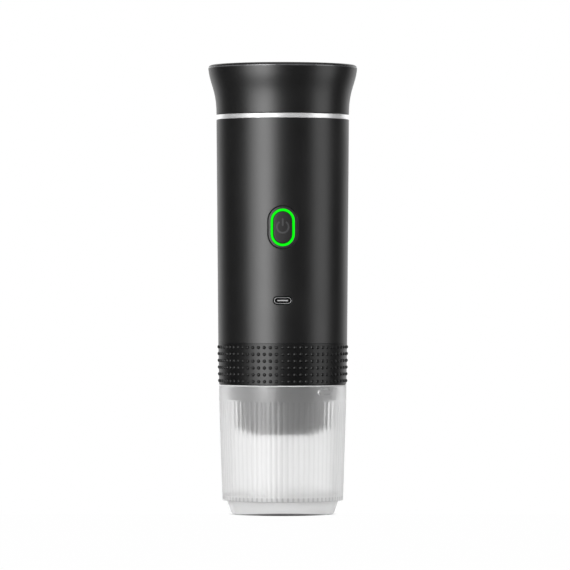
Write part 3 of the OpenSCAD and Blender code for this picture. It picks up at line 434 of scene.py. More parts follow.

# Outside, painted shade greys the colour at the level of the floor, most of all in the flutes, and
# a faint painted line of shade runs down each flute further up. groove is the depth below the wall's cone.
cone = reckon(tree, "MULTIPLY_ADD", place.outputs["Z"], cup_taper, cup_cone(0) * mm)
groove = reckon(tree, "SUBTRACT", cone, reach)
slab = ramp(tree, place.outputs["Z"], (cup_floor - 0.8) * mm, (cup_floor + 0.2) * mm, 1.0, 0.0, smooth=True)
outer = reckon(tree, "SUBTRACT", slab, inner, clamp=True)
stripe = ramp(tree, groove, 0.0, flute_depth * mm, 0.45, 1.0)
floor_shade = reckon(tree, "MULTIPLY", outer, stripe)
fluted = ramp(tree, place.outputs["Z"], (flute_end - 1) * mm, flute_end * mm, 1.0, 0.0)
wall = reckon(tree, "SUBTRACT", fluted, inner, clamp=True)
line = ramp(tree, groove, 0.0, flute_depth * mm, 0.0, 0.24)
painted_shade = reckon(tree, "MULTIPLY_ADD", wall, line, floor_shade, clamp=True)
shaded_tone = tinted(tree, painted_shade, tree.nodes["tone"].outputs[0], (0.5, 0.5, 0.5))

# In front, a painted contact shadow darkens the foot along its sole, over a strip that thins out to both
# sides.
sole_low, sole_high, sole_front, sole_back, sole_bow = 1.0 * mm, 1.4 * mm, -16 * mm, -8 * mm, 2.0
bow = reckon(tree, "MULTIPLY", place.outputs["X"], sole_bow)
lift = reckon(tree, "MULTIPLY_ADD", bow, place.outputs["X"], place.outputs["Z"])
low = ramp(tree, lift, sole_low, sole_high, 1.0, 0.0)
front = ramp(tree, place.outputs["Y"], sole_front, sole_back, 1.0, 0.0)
sole_shadow = reckon(tree, "MULTIPLY", low, front)
feed(frosted, Roughness=blur, Base_Color=tinted(tree, sole_shadow, shaded_tone, (0.12, 0.12, 0.12)))
cup = make("drinking_cup", [turned(cup_outline, cup_turns, [bead], cup_radius)], frosted, "cup",
           ["cup"])

# The lip is a ring that closes the wall, just clear of it.
lip_gap, lip_ease = 0.01, 0.35
lip_outline = rounded([(cup_bore_r, lip_z + lip_gap, 0), (cup_mouth_r, lip_z + lip_gap, 0),
                       (cup_mouth_r, cup_h, lip_ease), (cup_bore_r, cup_h, lip_ease)])
lip_matte = finish("lip_matte", (0.84, 0.84, 0.84), (0.90, 0.90, 0.90), (0.45, 0.55), speck=900, cloud=45,
                   bump=0.04)
lip = make("cup_lip", [turned(lip_outline, full_turn, wrap=True)], lip_matte, "cup")


def pill_path(spine, round_steps=14, straight_steps=8):
    """Directions and spine points round a pill: half circles about the spine's ends and two straights."""
    a = np.linspace(0, pi, round_steps + 1)
    t = np.linspace(1, -1, straight_steps + 1)[1:-1]
    hx, hz = spine
    start = 0.0 if hz else -pi / 2
    turn = np.concatenate([a, np.full(len(t), pi), a + pi, np.full(len(t), 2 * pi)]) + start
    along = np.concatenate([np.ones(len(a)), t, -np.ones(len(a)), -t])
    return np.stack([np.cos(turn), np.sin(turn)], -1), along[:, None] * np.array([hx, hz])


# The bead's edge is a thin skin over the outer part of its flank, wider on the left, and its
# inner rows lie behind the wall.
edge_share, edge_more, edge_skin, edge_sunk, edge_tuck = 0.5, 0.15, 0.01, 0.12, 0.6
way, near = pill_path((bead_spine, 0))
wide = edge_share + edge_more * np.clip(-way[:, 0], 0, 1)
flank_out, flank_drop = bead_flank(pi / 2 * (1 - np.linspace(1, 0, 6)[:, None] * wide))
flank_out = np.concatenate([flank_out + edge_skin, np.full((1, len(way)), bead_reach),
                            bead_reach - edge_tuck * wide[None]])
flank_drop = np.concatenate([flank_drop - edge_skin, np.full((2, len(way)), edge_sunk)])
flat = near + flank_out[..., None] * way
bead_x = flat[..., 0]
bead_y = -np.sqrt(cup_mouth_r ** 2 - bead_x ** 2) + flank_drop
c, s = cos(radians(bead_angle)), sin(radians(bead_angle))
flank = np.stack([c * bead_x - s * bead_y, s * bead_x + c * bead_y, flat[..., 1] + bead_z], -1)
flank_quads = ring_quads(len(flank), len(way), 0, wrap=True)
edge_matte = finish("edge_matte", (0.62, 0.62, 0.62), (0.70, 0.70, 0.70), (0.45, 0.55), speck=900, cloud=45,
                    bump=0.04)
edge = make("bead_edge", [(flank.reshape(-1, 3), flank_quads)], edge_matte, "cup")

side_lit = bpy.data.collections.new("side_lit")
for piece in (cup, lip, edge):
    side_lit.objects.link(piece)
for name, azimuth, radiance in (("cup_light_left", -96, 1.3), ("cup_light_right", 104, 0.95)):
    strip_light(name, azimuth, distance=1.2, centre_z=0.04, width=1.65, height=0.9, radiance=radiance,
                pieces=side_lit)


# Brew chamber: the dark moulded body of the twist-on brew head. It hangs in the cup, holds
# the basket on its inner step and narrows to the outlet.
chamber_low, funnel_top, flange_z, step_z, chamber_top = 41.7, 45.5, 60.3, 72.9, 73.7
outlet_r, funnel_r, chamber_r, step_r, flange_r, chamber_wall = 3.0, 16.0, 24.4, 27.0, 30.2, 1.6
chamber_floor, chamber_bore_r = chamber_low + chamber_wall, chamber_r - chamber_wall
chamber_outline = rounded(
    [(outlet_r, chamber_low, 0.3), (funnel_r, chamber_low, 1.0), (chamber_r, funnel_top, 1.0),
     (chamber_r, flange_z, 0.3), (flange_r, flange_z, 0.5), (flange_r, chamber_top, 0.1),
     (step_r, chamber_top, 0.2), (step_r, step_z, 0.1), (chamber_bore_r, step_z, 0.2),
     (chamber_bore_r, funnel_top + chamber_wall, 0.5), (funnel_r - chamber_wall, chamber_floor, 0.5),
     (outlet_r, chamber_floor, 0.2)])
chamber_black = finish("chamber_black", (0.036, 0.036, 0.037), (0.046, 0.046, 0.047), (0.48, 0.56),
                       speck=1800, cloud=50, bump=0.08, Specular_IOR_Level=1.0)
make("chamber", [turned(chamber_outline, full_turn, wrap=True)], chamber_black, "brew_head",
     ["brew_chamber"])


# Filter basket: a cup drawn from thin steel sheet with a sieve floor, left as the solid it is.
# Crema valve: a soft red plug pressed into the outlet.
def dress(material, *names):
    """Gives solids of the frame a finish."""
    for name in names:
        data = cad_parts[name].data
        data.materials.clear()
        data.materials.append(material)


drawn_steel = finish("drawn_steel", (0.50, 0.50, 0.51), (0.60, 0.60, 0.61), (0.22, 0.34), speck=900, cloud=40,
                     bump=0.10, stretch=(6, 6, 0.5), Metallic=1.0)
dress(drawn_steel, "filter_basket")
valve_hole_r, valve_stem_r, valve_head_r, valve_top = 0.8, 2.9, 5.0, 44.5
valve_outline = rounded(
    [(valve_hole_r, chamber_low, 0.1), (valve_stem_r, chamber_low, 0.3), (valve_stem_r, chamber_floor, 0.1),
     (valve_head_r, chamber_floor, 0.2), (valve_head_r, valve_top, 0.5), (valve_hole_r, valve_top, 0.3)])
red_silicone = finish("red_silicone", (0.28, 0.045, 0.028), (0.36, 0.06, 0.038), (0.45, 0.6), speck=1500,
                      bump=0.1)
make("outlet_valve", [turned(valve_outline, full_turn[::4], wrap=True)], red_silicone, "brew_head",
     ["crema_valve"])


# Grip collar: the handle of the brew head, moulded in dark rubber over a hard core. Six rows
# of round dots stand out of it, and inside runs the ledge that the bayonet lugs pull on.
collar_z, collar_top, collar_r, collar_top_r = 68.3, 90.04, 33.6, 34.05
collar_bore_r, collar_seat_r, ledge_r, ledge_top = 30.4, 30.3, 28.4, 76.9
entry_middles, entry_half = np.radians([70, -170, -50]), radians(11.9)
collar_outline = rounded(
    [(collar_r, collar_z, 0.35), (collar_top_r, collar_top, 0.08), (collar_bore_r, collar_top, 0.3),
     (collar_bore_r, ledge_top, 0), (ledge_r, ledge_top, 0.2), (ledge_r, chamber_top, 0.2),
     (collar_seat_r, chamber_top, 0), (collar_seat_r, collar_z, 0.3)])
entry_edges = np.array([-entry_half - 1e-3, -entry_half, entry_half, entry_half + 1e-3])
edges = (entry_middles[:, None] + entry_edges).ravel()
collar_turns = np.sort(np.concatenate([np.linspace(-pi, pi, 265)[:-1], (edges + pi) % (2 * pi) - pi]))
from_entry = np.abs((collar_turns[:, None] - entry_middles + pi) % (2 * pi) - pi).min(1)
ledge = collar_outline[:, 0] < ledge_r + 1
in_entry = from_entry < entry_half + 1e-4
collar_radius = np.where(ledge[:, None] & in_entry, collar_bore_r, collar_outline[:, :1])

# A dot is the cap of a sphere on the collar's cone, with a ring of points at each tilt from
# its top and a last one that closes it below.
dot_rows, dot_columns, dot_pitch, dot_first = 6, 66, 3.56, 70.2
dot_sphere, dot_proud = 1.0955, 0.55
slope = np.arctan((collar_top_r - collar_r) / (collar_top - collar_z))
tilt = np.radians([0, 18, 36, 52, 66, 66])
dome_r = dot_sphere * np.sin(tilt) * np.array([1, 1, 1, 1, 1, 0])
dome_h = dot_sphere * np.cos(tilt) - dot_sphere + dot_proud
spin = np.linspace(0, 2 * pi, 13)[:-1]
right, up = dome_r[:, None] * np.cos(spin), dome_r[:, None] * np.sin(spin)
high = np.repeat(dome_h[:, None], len(spin), 1)
at_turn = np.repeat(np.arange(dot_columns) * 2 * pi / dot_columns, dot_rows)[:, None, None]
at_z = np.tile(dot_first + np.arange(dot_rows) * dot_pitch, dot_columns)[:, None, None]
base_r = collar_r + (at_z - collar_z) * np.tan(slope)
out = base_r + high * np.cos(slope) + up * np.sin(slope)
dots = np.stack([out * np.sin(at_turn) + right * np.cos(at_turn),
                 -out * np.cos(at_turn) + right * np.sin(at_turn),
                 at_z + up * np.cos(slope) - high * np.sin(slope)], -1).reshape(-1, 3)
dot_size = len(dome_r) * len(spin)
dot_quads = ring_quads(len(dome_r), len(spin), 0).reshape(-1, 4)
dot_quads = dot_quads + np.arange(dot_rows * dot_columns)[:, None, None] * dot_size
grip_rubber = finish("grip_rubber", (0.0045, 0.0045, 0.0048), (0.0065, 0.0065, 0.0068), (0.32, 0.37),
                     speck=2200, cloud=70, bump=0.06, Specular_IOR_Level=0.65)
collar = turned(collar_outline, collar_turns, radius=collar_radius, wrap=True)
make("grip", [collar, (dots, dot_quads)], grip_rubber, "brew_head", ["grip_collar"], sharp=48)


# Brew group: the dark plate that closes the body below, with its bayonet lugs; the red gasket,
# the steel shower plate and the screws are fixed to it. They are left as the solids they are.
group_black = finish("group_black", (0.022, 0.022, 0.024), (0.030, 0.030, 0.032), (0.4, 0.5), speck=1800,
                     bump=0.08)
screw_steel = finish("screw_steel", (0.42, 0.42, 0.43), (0.52, 0.52, 0.53), (0.25, 0.4), speck=2000,
                     bump=0.06, Metallic=1.0)
dress(group_black, "brew_group")
dress(red_silicone, "group_gasket")
dress(drawn_steel, "shower_plate")
dress(screw_steel, "group_screws", "frame_screws", "board_screws")


# Body shell: a tall, slightly tapered tube of satin black metal with a fine blasted grain.
# The button's frame and the charging port come through two round-ended openings in its front.
body_z, body_top, body_r, body_top_r, body_bore_r = 90.1, 207.8, 34.05, 35.0, 32.2
group_ledge_r, group_ledge_low, group_ledge_top = 28.2, 94.5, 96.5
tank_seat_r, tank_seat_z = 33.6, 207.0
button_z, button_spine, button_reach, button_margin = 150.6, 3.5, 7.9, 14.0
port_z, port_spine, port_reach, port_margin = 112.5, 2.84, 2.13, 3.9


def body_skin(z):
    """Radius of the body's outer face: a straight line from its lower to its upper edge."""
    return body_r + (body_top_r - body_r) * (z - body_z) / (body_top - body_z)


port_rows = np.linspace(port_z - port_margin, port_z + port_margin, 9)
button_rows = np.linspace(button_z - button_margin, button_z + button_margin, 29)
front_rows = np.concatenate([port_rows, button_rows])
shell_outline = rounded(
    [(body_r, body_z, 0.08)]
    + [(body_skin(z), z, 0) for z in front_rows]
    + [(body_top_r, body_top, 0.2), (tank_seat_r, body_top, 0), (tank_seat_r, tank_seat_z, 0),
       (body_bore_r, tank_seat_z, 0)]
    + [(body_bore_r, z, 0) for z in front_rows[::-1]]
    + [(body_bore_r, group_ledge_top, 0), (group_ledge_r, group_ledge_top, 0.2),
       (group_ledge_r, group_ledge_low, 0.2), (body_bore_r, group_ledge_low, 0), (body_bore_r, body_z, 0.2)])
shell_turns = np.radians(np.arange(-180, 180, 1.5))


def front_hole(z, rows, half_turn, spine, reach, ease=0.18):
    """Slot in the front of the body shell, its outer edge rounded by ease."""
    lip = np.stack([reach + ease * (1 - np.cos(bend)), ease * (1 - np.sin(bend))], -1)
    outer = [row_at(shell_outline, body_skin(row), row) for row in (rows[0], rows[-1])]
    inner = [row_at(shell_outline, body_bore_r, row) for row in (rows[0], rows[-1])]
    columns = (column_at(shell_turns, -half_turn), column_at(shell_turns, half_turn))
    return {"z": z, "turn": 0.0, "spine": spine, "columns": columns,
            "faces": [(*outer, lip), (*inner, [(reach, 0)])]}


def satin_metal(name):
    """Satin black metal, nearly black, with a fine grain."""
    return finish(name, (0.0065, 0.0065, 0.0068), (0.0085, 0.0085, 0.0088), (0.335, 0.385), speck=3200,
                  cloud=30, bump=0.06, depth=0.00003, Specular_IOR_Level=1.0)


shell_holes = [front_hole(button_z, button_rows, 19.5, (0, button_spine), button_reach),
               front_hole(port_z, port_rows, 13.5, (port_spine, 0), port_reach)]
make("shell", [turned(shell_outline, shell_turns, shell_holes, wrap=True)], satin_metal("satin_black"),
     "machine", ["body_shell"])


# Inside the body: two moulded frames, three battery cells, the control board with its switch.
# All of it is closed in, and left as the solids it is.
frame_grey = finish("frame_grey", (0.075, 0.082, 0.09), (0.095, 0.10, 0.11), (0.45, 0.6), speck=1600,
                    bump=0.1)
cell_wrap = finish("cell_wrap", (0.035, 0.11, 0.26), (0.045, 0.13, 0.30), (0.25, 0.4), speck=800, bump=0.05)
board_green = finish("board_green", (0.010, 0.075, 0.030), (0.015, 0.10, 0.042), (0.3, 0.45), speck=900,
                     cloud=300, bump=0.12)
switch_black = finish("switch_black", (0.012, 0.012, 0.012), (0.02, 0.02, 0.02), (0.4, 0.5), bump=0.08)
stem_ivory = finish("stem_ivory", (0.60, 0.56, 0.47), (0.68, 0.64, 0.55), (0.4, 0.5), bump=0.05)
dress(frame_grey, "lower_frame", "upper_frame")
dress(cell_wrap, "battery_cells")
dress(board_green, "control_board")
dress(switch_black, "tact_switch")
dress(stem_ivory, "switch_stem")


# Charging port: a receptacle rolled from steel sheet with a pale insulating tongue in it,
# set a little back in its opening. Both turn dark where no light gets to them.
def pill_sweep(section, spine, z_mid, wrap=True):
    """Section rows (reach, depth, follows) carried round a pill: x and z lie reach out from the spine, and
    the point lies depth behind the body's face where follows is 1, or depth in front of the axis where it
    is 0."""
    way, near = pill_path(spine)
    rows = np.array(section, float)
    flat = near + rows[:, :1, None] * way
    x, z = flat[..., 0], flat[..., 1] + z_mid
    face = np.sqrt(body_skin(z) ** 2 - x ** 2) - rows[:, 1:2]
    y = -np.where(rows[:, 2:3] > 0, face, rows[:, 1:2])
    return np.stack([x, y, z], -1).reshape(-1, 3), ring_quads(len(rows), len(way), 0, wrap)


usb_r, usb_bore_r, usb_front, board_face = 1.63, 1.33, 33.73, 25.6
usb_section = [(usb_r, board_face, 0), (usb_r, usb_front - 0.12, 0), (usb_r - 0.03, usb_front - 0.03, 0),
               (usb_r - 0.11, usb_front, 0), (usb_bore_r + 0.11, usb_front, 0),
               (usb_bore_r + 0.03, usb_front - 0.03, 0), (usb_bore_r, usb_front - 0.12, 0),
               (usb_bore_r, board_face, 0)]
unlit = (0.012, 0.012, 0.012)
port_steel = finish("port_steel", (0.52, 0.52, 0.53), (0.60, 0.60, 0.61), (0.42, 0.52), speck=3000, bump=0.05,
                    Metallic=0.5)
tree = port_steel.node_tree
place = add(tree, "SeparateXYZ", {0: add(tree, "TexCoord").outputs["Object"]})
deep = ramp(tree, place.outputs["Y"], -(usb_front - 0.05) * mm, -(usb_front - 0.18) * mm)
feed(port_steel, Base_Color=tinted(tree, deep, tree.nodes["tone"].outputs[0], unlit))
make("port_shell", [pill_sweep(usb_section, (port_spine, 0), port_z)], port_steel, "machine",
     ["usb_shell"])

tongue_half, tongue_spine, tongue_front, root_half, root_front = 0.35, 3.0, 33.03, 1.28, board_face + 1.6
tongue_section = [(0, tongue_front, 0), (tongue_half - 0.08, tongue_front, 0),
                  (tongue_half, tongue_front - 0.1, 0), (tongue_half, root_front, 0),
                  (root_half, root_front, 0), (root_half, board_face, 0), (0, board_face, 0)]
tongue_grey = finish("tongue_grey", (0.60, 0.60, 0.61), (0.70, 0.70, 0.71), (0.35, 0.45), bump=0.06)
tree = tongue_grey.node_tree
place = add(tree, "SeparateXYZ", {0: add(tree, "TexCoord").outputs["Object"]})
aside = reckon(tree, "ABSOLUTE", place.outputs["X"])
ends = ramp(tree, aside, (tongue_spine - 0.4) * mm, (tongue_spine - 0.1) * mm)
deep = ramp(tree, place.outputs["Y"], -(tongue_front - 0.03) * mm, -(tongue_front - 0.33) * mm)
hidden = reckon(tree, "MAXIMUM", ends, deep)
feed(tongue_grey, Base_Color=tinted(tree, hidden, tree.nodes["tone"].outputs[0], unlit))
make("port_tongue", [pill_sweep(tongue_section, (tongue_spine, 0), port_z, wrap=False)], tongue_grey,
     "machine", ["usb_tongue"])


# Button frame: a moulded grey bezel clipped in from behind the body's wall, with the light
# guide that glows green lying in its step.
bezel_r, bezel_lip_r, bezel_bed_r, bezel_bore_r, bezel_flange_r = 7.8, 6.3, 6.65, 6.1, 9.05
bezel_face, bezel_back, bezel_flange, bezel_bed = 0.05, 30.04, 30.6, 32.04
bezel_section = [(bezel_bed_r, 0.13, 1), (bezel_lip_r, 0.13, 1), (bezel_lip_r, 0.09, 1),
                 (bezel_lip_r + 0.06, 0.06, 1), (bezel_lip_r + 0.2, bezel_face, 1),
                 (bezel_r - 0.6, bezel_face, 1), (bezel_r - 0.45, 0.09, 1), (bezel_r - 0.3, 0.2, 1),
                 (bezel_r, 0.5, 1), (bezel_r, bezel_flange, 0), (bezel_flange_r, bezel_flange, 0),
                 (bezel_flange_r, bezel_back, 0), (bezel_bore_r, bezel_back, 0), (bezel_bore_r, bezel_bed, 0),
                 (bezel_bed_r, bezel_bed, 0)]
bezel_grey = finish("bezel_grey", (0.030, 0.030, 0.031), (0.040, 0.040, 0.041), (0.28, 0.36), speck=2500,
                    bump=0.05)
make("button_frame", [pill_sweep(bezel_section, (0, button_spine), button_z)], bezel_grey, "machine",
     ["button_bezel"])

guide_r, guide_bore_r, guide_face = 6.55, 5.05, 0.15
guide_section = [(guide_bore_r, 0.3, 1), (guide_bore_r + 0.05, 0.2, 1), (guide_bore_r + 0.17, guide_face, 1),
                 ((guide_r + guide_bore_r) / 2, guide_face, 1), (guide_r - 0.17, guide_face, 1),
                 (guide_r - 0.05, 0.2, 1), (guide_r, 0.3, 1), (guide_r, bezel_bed, 0),
                 (guide_bore_r, bezel_bed, 0)]
glow = finish("green_glow", (0.0, 0.06, 0.001), (0.0, 0.09, 0.001), (0.5, 0.6), bump=0.03,
              Specular_IOR_Level=0.1, Emission_Strength=1.0)
tree = glow.node_tree
lit_green = tones(tree, tree.nodes["marks"].outputs["Cloud"], (0.0, 0.93, 0.002), (0.0, 1.0, 0.004))
feed(glow, Emission_Color=lit_green)
make("light_guide", [pill_sweep(guide_section, (0, button_spine), button_z)], glow, "machine",
     ["light_ring"])


# Power button: a dark satin key that slides in the light guide and is kept by a flange. Its
# power sign is printed on in pale grey.
key_r, key_face, key_back, key_flange_r, key_flange = 4.75, 0.15, 30.84, 5.8, 31.74
key_section = [(reach, key_face, 1) for reach in (0, 1.2, 2.4, 3.5, key_r - 0.4)]
key_section += [(key_r - 0.15, 0.19, 1), (key_r - 0.03, 0.29, 1), (key_r, 0.42, 1), (key_r, key_flange, 0),
                (key_flange_r, key_flange, 0), (key_flange_r, key_back, 0), (0, key_back, 0)]
key_black = finish("key_black", (0.021, 0.020, 0.0205), (0.026, 0.025, 0.0255), (0.42, 0.5), speck=2600,
                   bump=0.06)
make("power_key", [pill_sweep(key_section, (0, button_spine), button_z, wrap=False)], key_black, "button",
     ["power_button"])

sign_r, sign_half, sign_drop, sign_gap, bar_low, bar_top = 3.05, 0.46, 0.25, radians(31), 0.45, 4.5
sign_over, sign_under = 0.12, 0.2


def stroke(path, normal, half, z_mid):
    """Printed line along a path of x and z: a flat band half wide each side that narrows to round ends, from
    just under the button's face to just over it."""
    length = np.concatenate([[0], np.cumsum(np.linalg.norm(np.diff(path, axis=0), axis=1))])
    end = np.clip(np.minimum(length, length[-1] - length) / half, 0, 1)
    wide = half * np.sqrt(1 - (1 - end) ** 2)
    side = np.array([-1, 1, 1, -1])[:, None]
    depth = np.array([sign_over, sign_over, sign_under, sign_under])[:, None]
    x = path[:, 0] + side * wide * normal[:, 0]
    z = z_mid + path[:, 1] + side * wide * normal[:, 1]
    y = -(np.sqrt(body_skin(z) ** 2 - x ** 2) - depth)
    points = np.stack([x, y, z], -1).transpose(1, 0, 2).reshape(-1, 3)
    return points, ring_quads(len(path), 4, 0)


tip = np.linspace(0, 0.12, 7)
turn = np.linspace(sign_gap, 2 * pi - sign_gap, 64)
turn = np.concatenate([sign_gap + tip[:-1], turn[2:-2], 2 * pi - sign_gap - tip[-2::-1]])
arc_way = np.stack([np.sin(turn), np.cos(turn)], -1)
bar_z = np.concatenate([np.linspace(bar_low, bar_low + sign_half, 6), np.linspace(1.2, 3.7, 5),
                        np.linspace(bar_top - sign_half, bar_top, 6)])
bar = np.stack([np.zeros(len(bar_z)), bar_z], -1)
bar_way = np.repeat([[1.0, 0.0]], len(bar_z), 0)
sign_grey = finish("sign_grey", (0.068, 0.068, 0.07), (0.08, 0.08, 0.082), (0.4, 0.5), bump=0.02)
sign_arc = stroke(sign_r * arc_way, arc_way, sign_half, button_z + sign_drop)
sign_bar = stroke(bar, bar_way, sign_half, button_z + sign_drop)
make("power_sign", [sign_arc, sign_bar], sign_grey, "button")


# Pump: a steel yoke round a copper coil, the moulded cylinder with its plunger, spring and
# valve ball, rubber mounts and two soft tubes. Closed in, and left as the solids they are,
# apart from the wound spring, drawn here with a mesh of its own. In the pump it shortens as the plunger comes
# down on it.
yoke_steel = finish("yoke_steel", (0.30, 0.31, 0.32), (0.38, 0.39, 0.40), (0.3, 0.45), speck=1200, bump=0.08,
                    Metallic=1.0)
coil_copper = finish("coil_copper", (0.42, 0.16, 0.055), (0.55, 0.22, 0.08), (0.28, 0.4), speck=500, bump=0.3,
                     stretch=(0.2, 0.2, 6), Metallic=1.0)
cylinder_ivory = finish("cylinder_ivory", (0.66, 0.63, 0.54), (0.74, 0.71, 0.62), (0.35, 0.45), bump=0.05)
mount_rubber = finish("mount_rubber", (0.012, 0.012, 0.012), (0.02, 0.02, 0.02), (0.55, 0.7), speck=1500,
                      bump=0.12)
tube_silicone = finish("tube_silicone", (0.62, 0.60, 0.56), (0.70, 0.68, 0.64), (0.3, 0.45), bump=0.06)
dress(yoke_steel, "pump_yoke", "pump_plunger", "pump_valve_ball")
dress(coil_copper, "pump_coil")
dress(cylinder_ivory, "pump_cylinder")
dress(mount_rubber, "pump_mounts")
dress(tube_silicone, "inlet_tube", "outlet_tube")


def wound(z_low, z_high, r, wire_r, turns, around=10, per_turn=48):
    """Wire wound round the axis: a ring of points carried up a helix, shrinking to a point at both ends."""
    along = np.linspace(0, 1, turns * per_turn + 1)
    wire = np.full(len(along), wire_r)
    along, wire = np.concatenate([[0], along, [1]]), np.concatenate([[0], wire, [0]])
    a = np.linspace(0, 2 * pi, around + 1)[:-1]
    out = r + wire[:, None] * np.cos(a)
    z = z_low + wire_r + along[:, None] * (z_high - z_low - 2 * wire_r) + wire[:, None] * np.sin(a)
    turn = 2 * pi * turns * along[:, None]
    points = np.stack([out * np.cos(turn), out * np.sin(turn), z], -1).reshape(-1, 3)
    return points, ring_quads(len(along), around, 0)


spring_low, spring_top, spring_r, wire_r, spring_turns, spring_gap = 111.0, 124.9, 3.35, 0.35, 6, 0.1
spring_steel = finish("spring_steel", (0.50, 0.50, 0.51), (0.58, 0.58, 0.59), (0.25, 0.35), speck=2000,
                      bump=0.06, Metallic=1.0)
spring_wire = wound(spring_low + spring_gap, spring_top, spring_r, wire_r, spring_turns)
spring = make("spring", [spring_wire], spring_steel, "machine", ["plunger_spring"])
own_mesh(spring)


# Water tank: a steel cup drawn from sheet and hung by its lip in the body's upper edge, with
# the film heater bonded under it and a sensor pressed against it.
tank_r, tank_bore_r, tank_lip_r, tank_under, tank_floor = 30.1, 29.3, 33.5, 173.2, 174.0
spout_r, spout_bore_r, spout_low = 3.0, 1.6, 166.2
tank_outline = rounded(
    [(spout_bore_r, spout_low, 0.1), (spout_r, spout_low, 0.4), (spout_r, tank_under, 0.3),
     (tank_r, tank_under, 2.0), (tank_r, tank_seat_z, 0.1), (tank_lip_r, tank_seat_z, 0.1),
     (tank_lip_r, body_top, 0.1), (tank_bore_r, body_top, 0.5), (tank_bore_r, tank_floor, 1.6),
     (spout_bore_r, tank_floor, 0.4)], steps=6)
make("tank", [turned(tank_outline, full_turn, wrap=True)], drawn_steel, "machine", ["water_tank"])
heater_film = finish("heater_film", (0.32, 0.075, 0.03), (0.42, 0.10, 0.04), (0.35, 0.5), speck=700, bump=0.1)
dress(heater_film, "tank_heater")
dress(switch_black, "temperature_sensor")


# Trim ring: a bright ring turned from metal that covers the body's upper edge and the tank's
# lip, with both edges broken. Three lamps of its own keep it bright all the way across.
ring_r, ring_bore_r, ring_top = body_top_r, tank_r, 210.3
fine_turn = np.linspace(-pi, pi, 257)[:-1]
ring_outline = rounded([(ring_bore_r, body_top, 0.1), (ring_r, body_top, 0.3), (ring_r, ring_top, 0.3),
                        (ring_bore_r, ring_top, 0.3)])
bright_ring = finish("bright_ring", (0.90, 0.90, 0.905), (0.96, 0.96, 0.965), (0.36, 0.42), speck=700,
                     cloud=50, bump=0.06, stretch=(0.4, 0.4, 12), Metallic=0.6)
ring = make("bright_ring", [turned(ring_outline, fine_turn, wrap=True)], bright_ring, "machine",
            ["trim_ring"])
ring_lit = bpy.data.collections.new("ring_lit")
ring_lit.objects.link(ring)
for side, azimuth, width in (("left", -145, 0.8), ("right", 68, 0.6), ("back", 145, 0.8)):
    strip_light("ring_light_" + side, azimuth, distance=1.2, centre_z=0.21, width=width, height=0.9,
                radiance=1.2, pieces=ring_lit)


# Cap: a flared shell of the same satin black metal with a rounded top edge, polished along
# one line, where a pale colour also paints a highlight; a moulded liner closes it from below
# and plugs the tank, with a soft seal in its groove.
cap_z, cap_top, cap_under, cap_wall, cap_straight = 210.5, 236.6, 234.2, 2.0, 223.5
rim_r, rim_z, rim_round, rim_lean, rim_pull = 39.29, 234.61, 1.8, radians(6), 8.5
rim_middle_r, cap_foot_cut, top_row_r = 37.5, 211.5, 30.0
bright_line_low, bright_line_high, bright_line_ease = 234.8, 235.5, 0.2


def flare(inset, top, count=24):
    """Cubic curve from the cap's base, upright, to its rim, which leans out."""
    t = np.linspace(0, 1, count)[:, None]
    base, rim = body_top_r - inset, rim_r - inset
    p = np.array([(base, cap_z), (base, cap_straight),
                  (rim - rim_pull * np.tan(rim_lean), top - rim_pull), (rim, top)])
    return (1 - t) ** 3 * p[0] + 3 * (1 - t) ** 2 * t * p[1] + 3 * (1 - t) * t ** 2 * p[2] + t ** 3 * p[3]


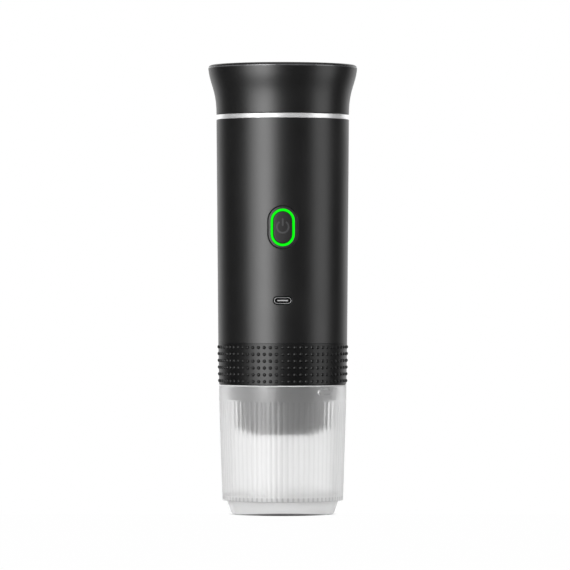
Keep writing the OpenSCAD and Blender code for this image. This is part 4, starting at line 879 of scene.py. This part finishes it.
rim_turn = np.linspace(-rim_lean, pi / 2, 12)[1:]
cap_rim = np.stack([rim_middle_r + rim_round * np.cos(rim_turn),
                    cap_top - rim_round + rim_round * np.sin(rim_turn)], -1)
cap_bore_r, foot_top = body_top_r - cap_wall, cap_z + 2.5
cap_foot = rounded([(cap_bore_r, foot_top, 0), (cap_bore_r, cap_z, 0.2), (body_top_r, cap_z, 0.3),
                    (body_top_r, foot_top, 0)])
cap_foot = cap_foot[cap_foot[:, 1] < cap_foot_cut]
inner_flare, outer_flare = flare(cap_wall, cap_under), flare(0.0, rim_z)
cap_outline = np.concatenate([[(0, cap_under)], inner_flare[:1:-1], cap_foot, outer_flare[2:], cap_rim,
                              [(top_row_r, cap_top), (0, cap_top)]])
cap_black = satin_metal("cap_black")
tree = cap_black.node_tree
place = add(tree, "SeparateXYZ", {0: add(tree, "TexCoord").outputs["Object"]})
above = ramp(tree, place.outputs["Z"], bright_line_low * mm, (bright_line_low + bright_line_ease) * mm)
below = ramp(tree, place.outputs["Z"], (bright_line_high - bright_line_ease) * mm, bright_line_high * mm, 1.0, 0.0)
polish_and_highlight = reckon(tree, "MULTIPLY", above, below)
bare = ramp(tree, polish_and_highlight, 0.0, 1.0, 0.0, 0.3)
shine = add(tree, "Mix", {"Factor": polish_and_highlight, "A": tree.nodes["gloss"].outputs[0], "B": 0.11},
            data_type="FLOAT")
# Painted highlight: the polished line's colour is raised to a pale grey.
painted_highlight = tinted(tree, polish_and_highlight, tree.nodes["tone"].outputs[0], (0.20, 0.20, 0.21))
feed(cap_black, Metallic=bare, Roughness=shine.outputs[0], Base_Color=painted_highlight)
make("cap", [turned(cap_outline, fine_turn)], cap_black, "cap", ["cap_shell"])

plug_r, plug_bore_r, plug_low, plug_floor = 28.4, 25.65, 204.0, 205.6
groove_r, groove_low, groove_top = 27.25, 205.5, 207.4
shelf_r, shelf_low, shelf_top = 32.9, 210.8, 212.8
liner_outline = rounded(
    [(0, plug_low, 0), (plug_r, plug_low, 0.6), (plug_r, groove_low, 0.1), (groove_r, groove_low, 0.1),
     (groove_r, groove_top, 0.1), (plug_r, groove_top, 0.1), (plug_r, shelf_low, 0.2),
     (shelf_r, shelf_low, 0.2), (shelf_r, shelf_top, 0.2), (plug_bore_r, shelf_top, 0.3),
     (plug_bore_r, plug_floor, 0.6), (0, plug_floor, 0)])
make("liner", [turned(liner_outline, full_turn)], group_black, "cap", ["cap_liner"])

seal_r, seal_wire_r, seal_z = 28.15, 0.85, 206.45
seal_turn = np.linspace(0, 2 * pi, 17)[:-1]
seal_outline = np.stack([seal_r + seal_wire_r * np.cos(seal_turn),
                         seal_z + seal_wire_r * np.sin(seal_turn)], -1)
seal_clear = finish("seal_clear", (0.60, 0.58, 0.54), (0.68, 0.66, 0.62), (0.35, 0.5), bump=0.06)
make("seal", [turned(seal_outline, full_turn, wrap=True)], seal_clear, "cap", ["cap_seal"])
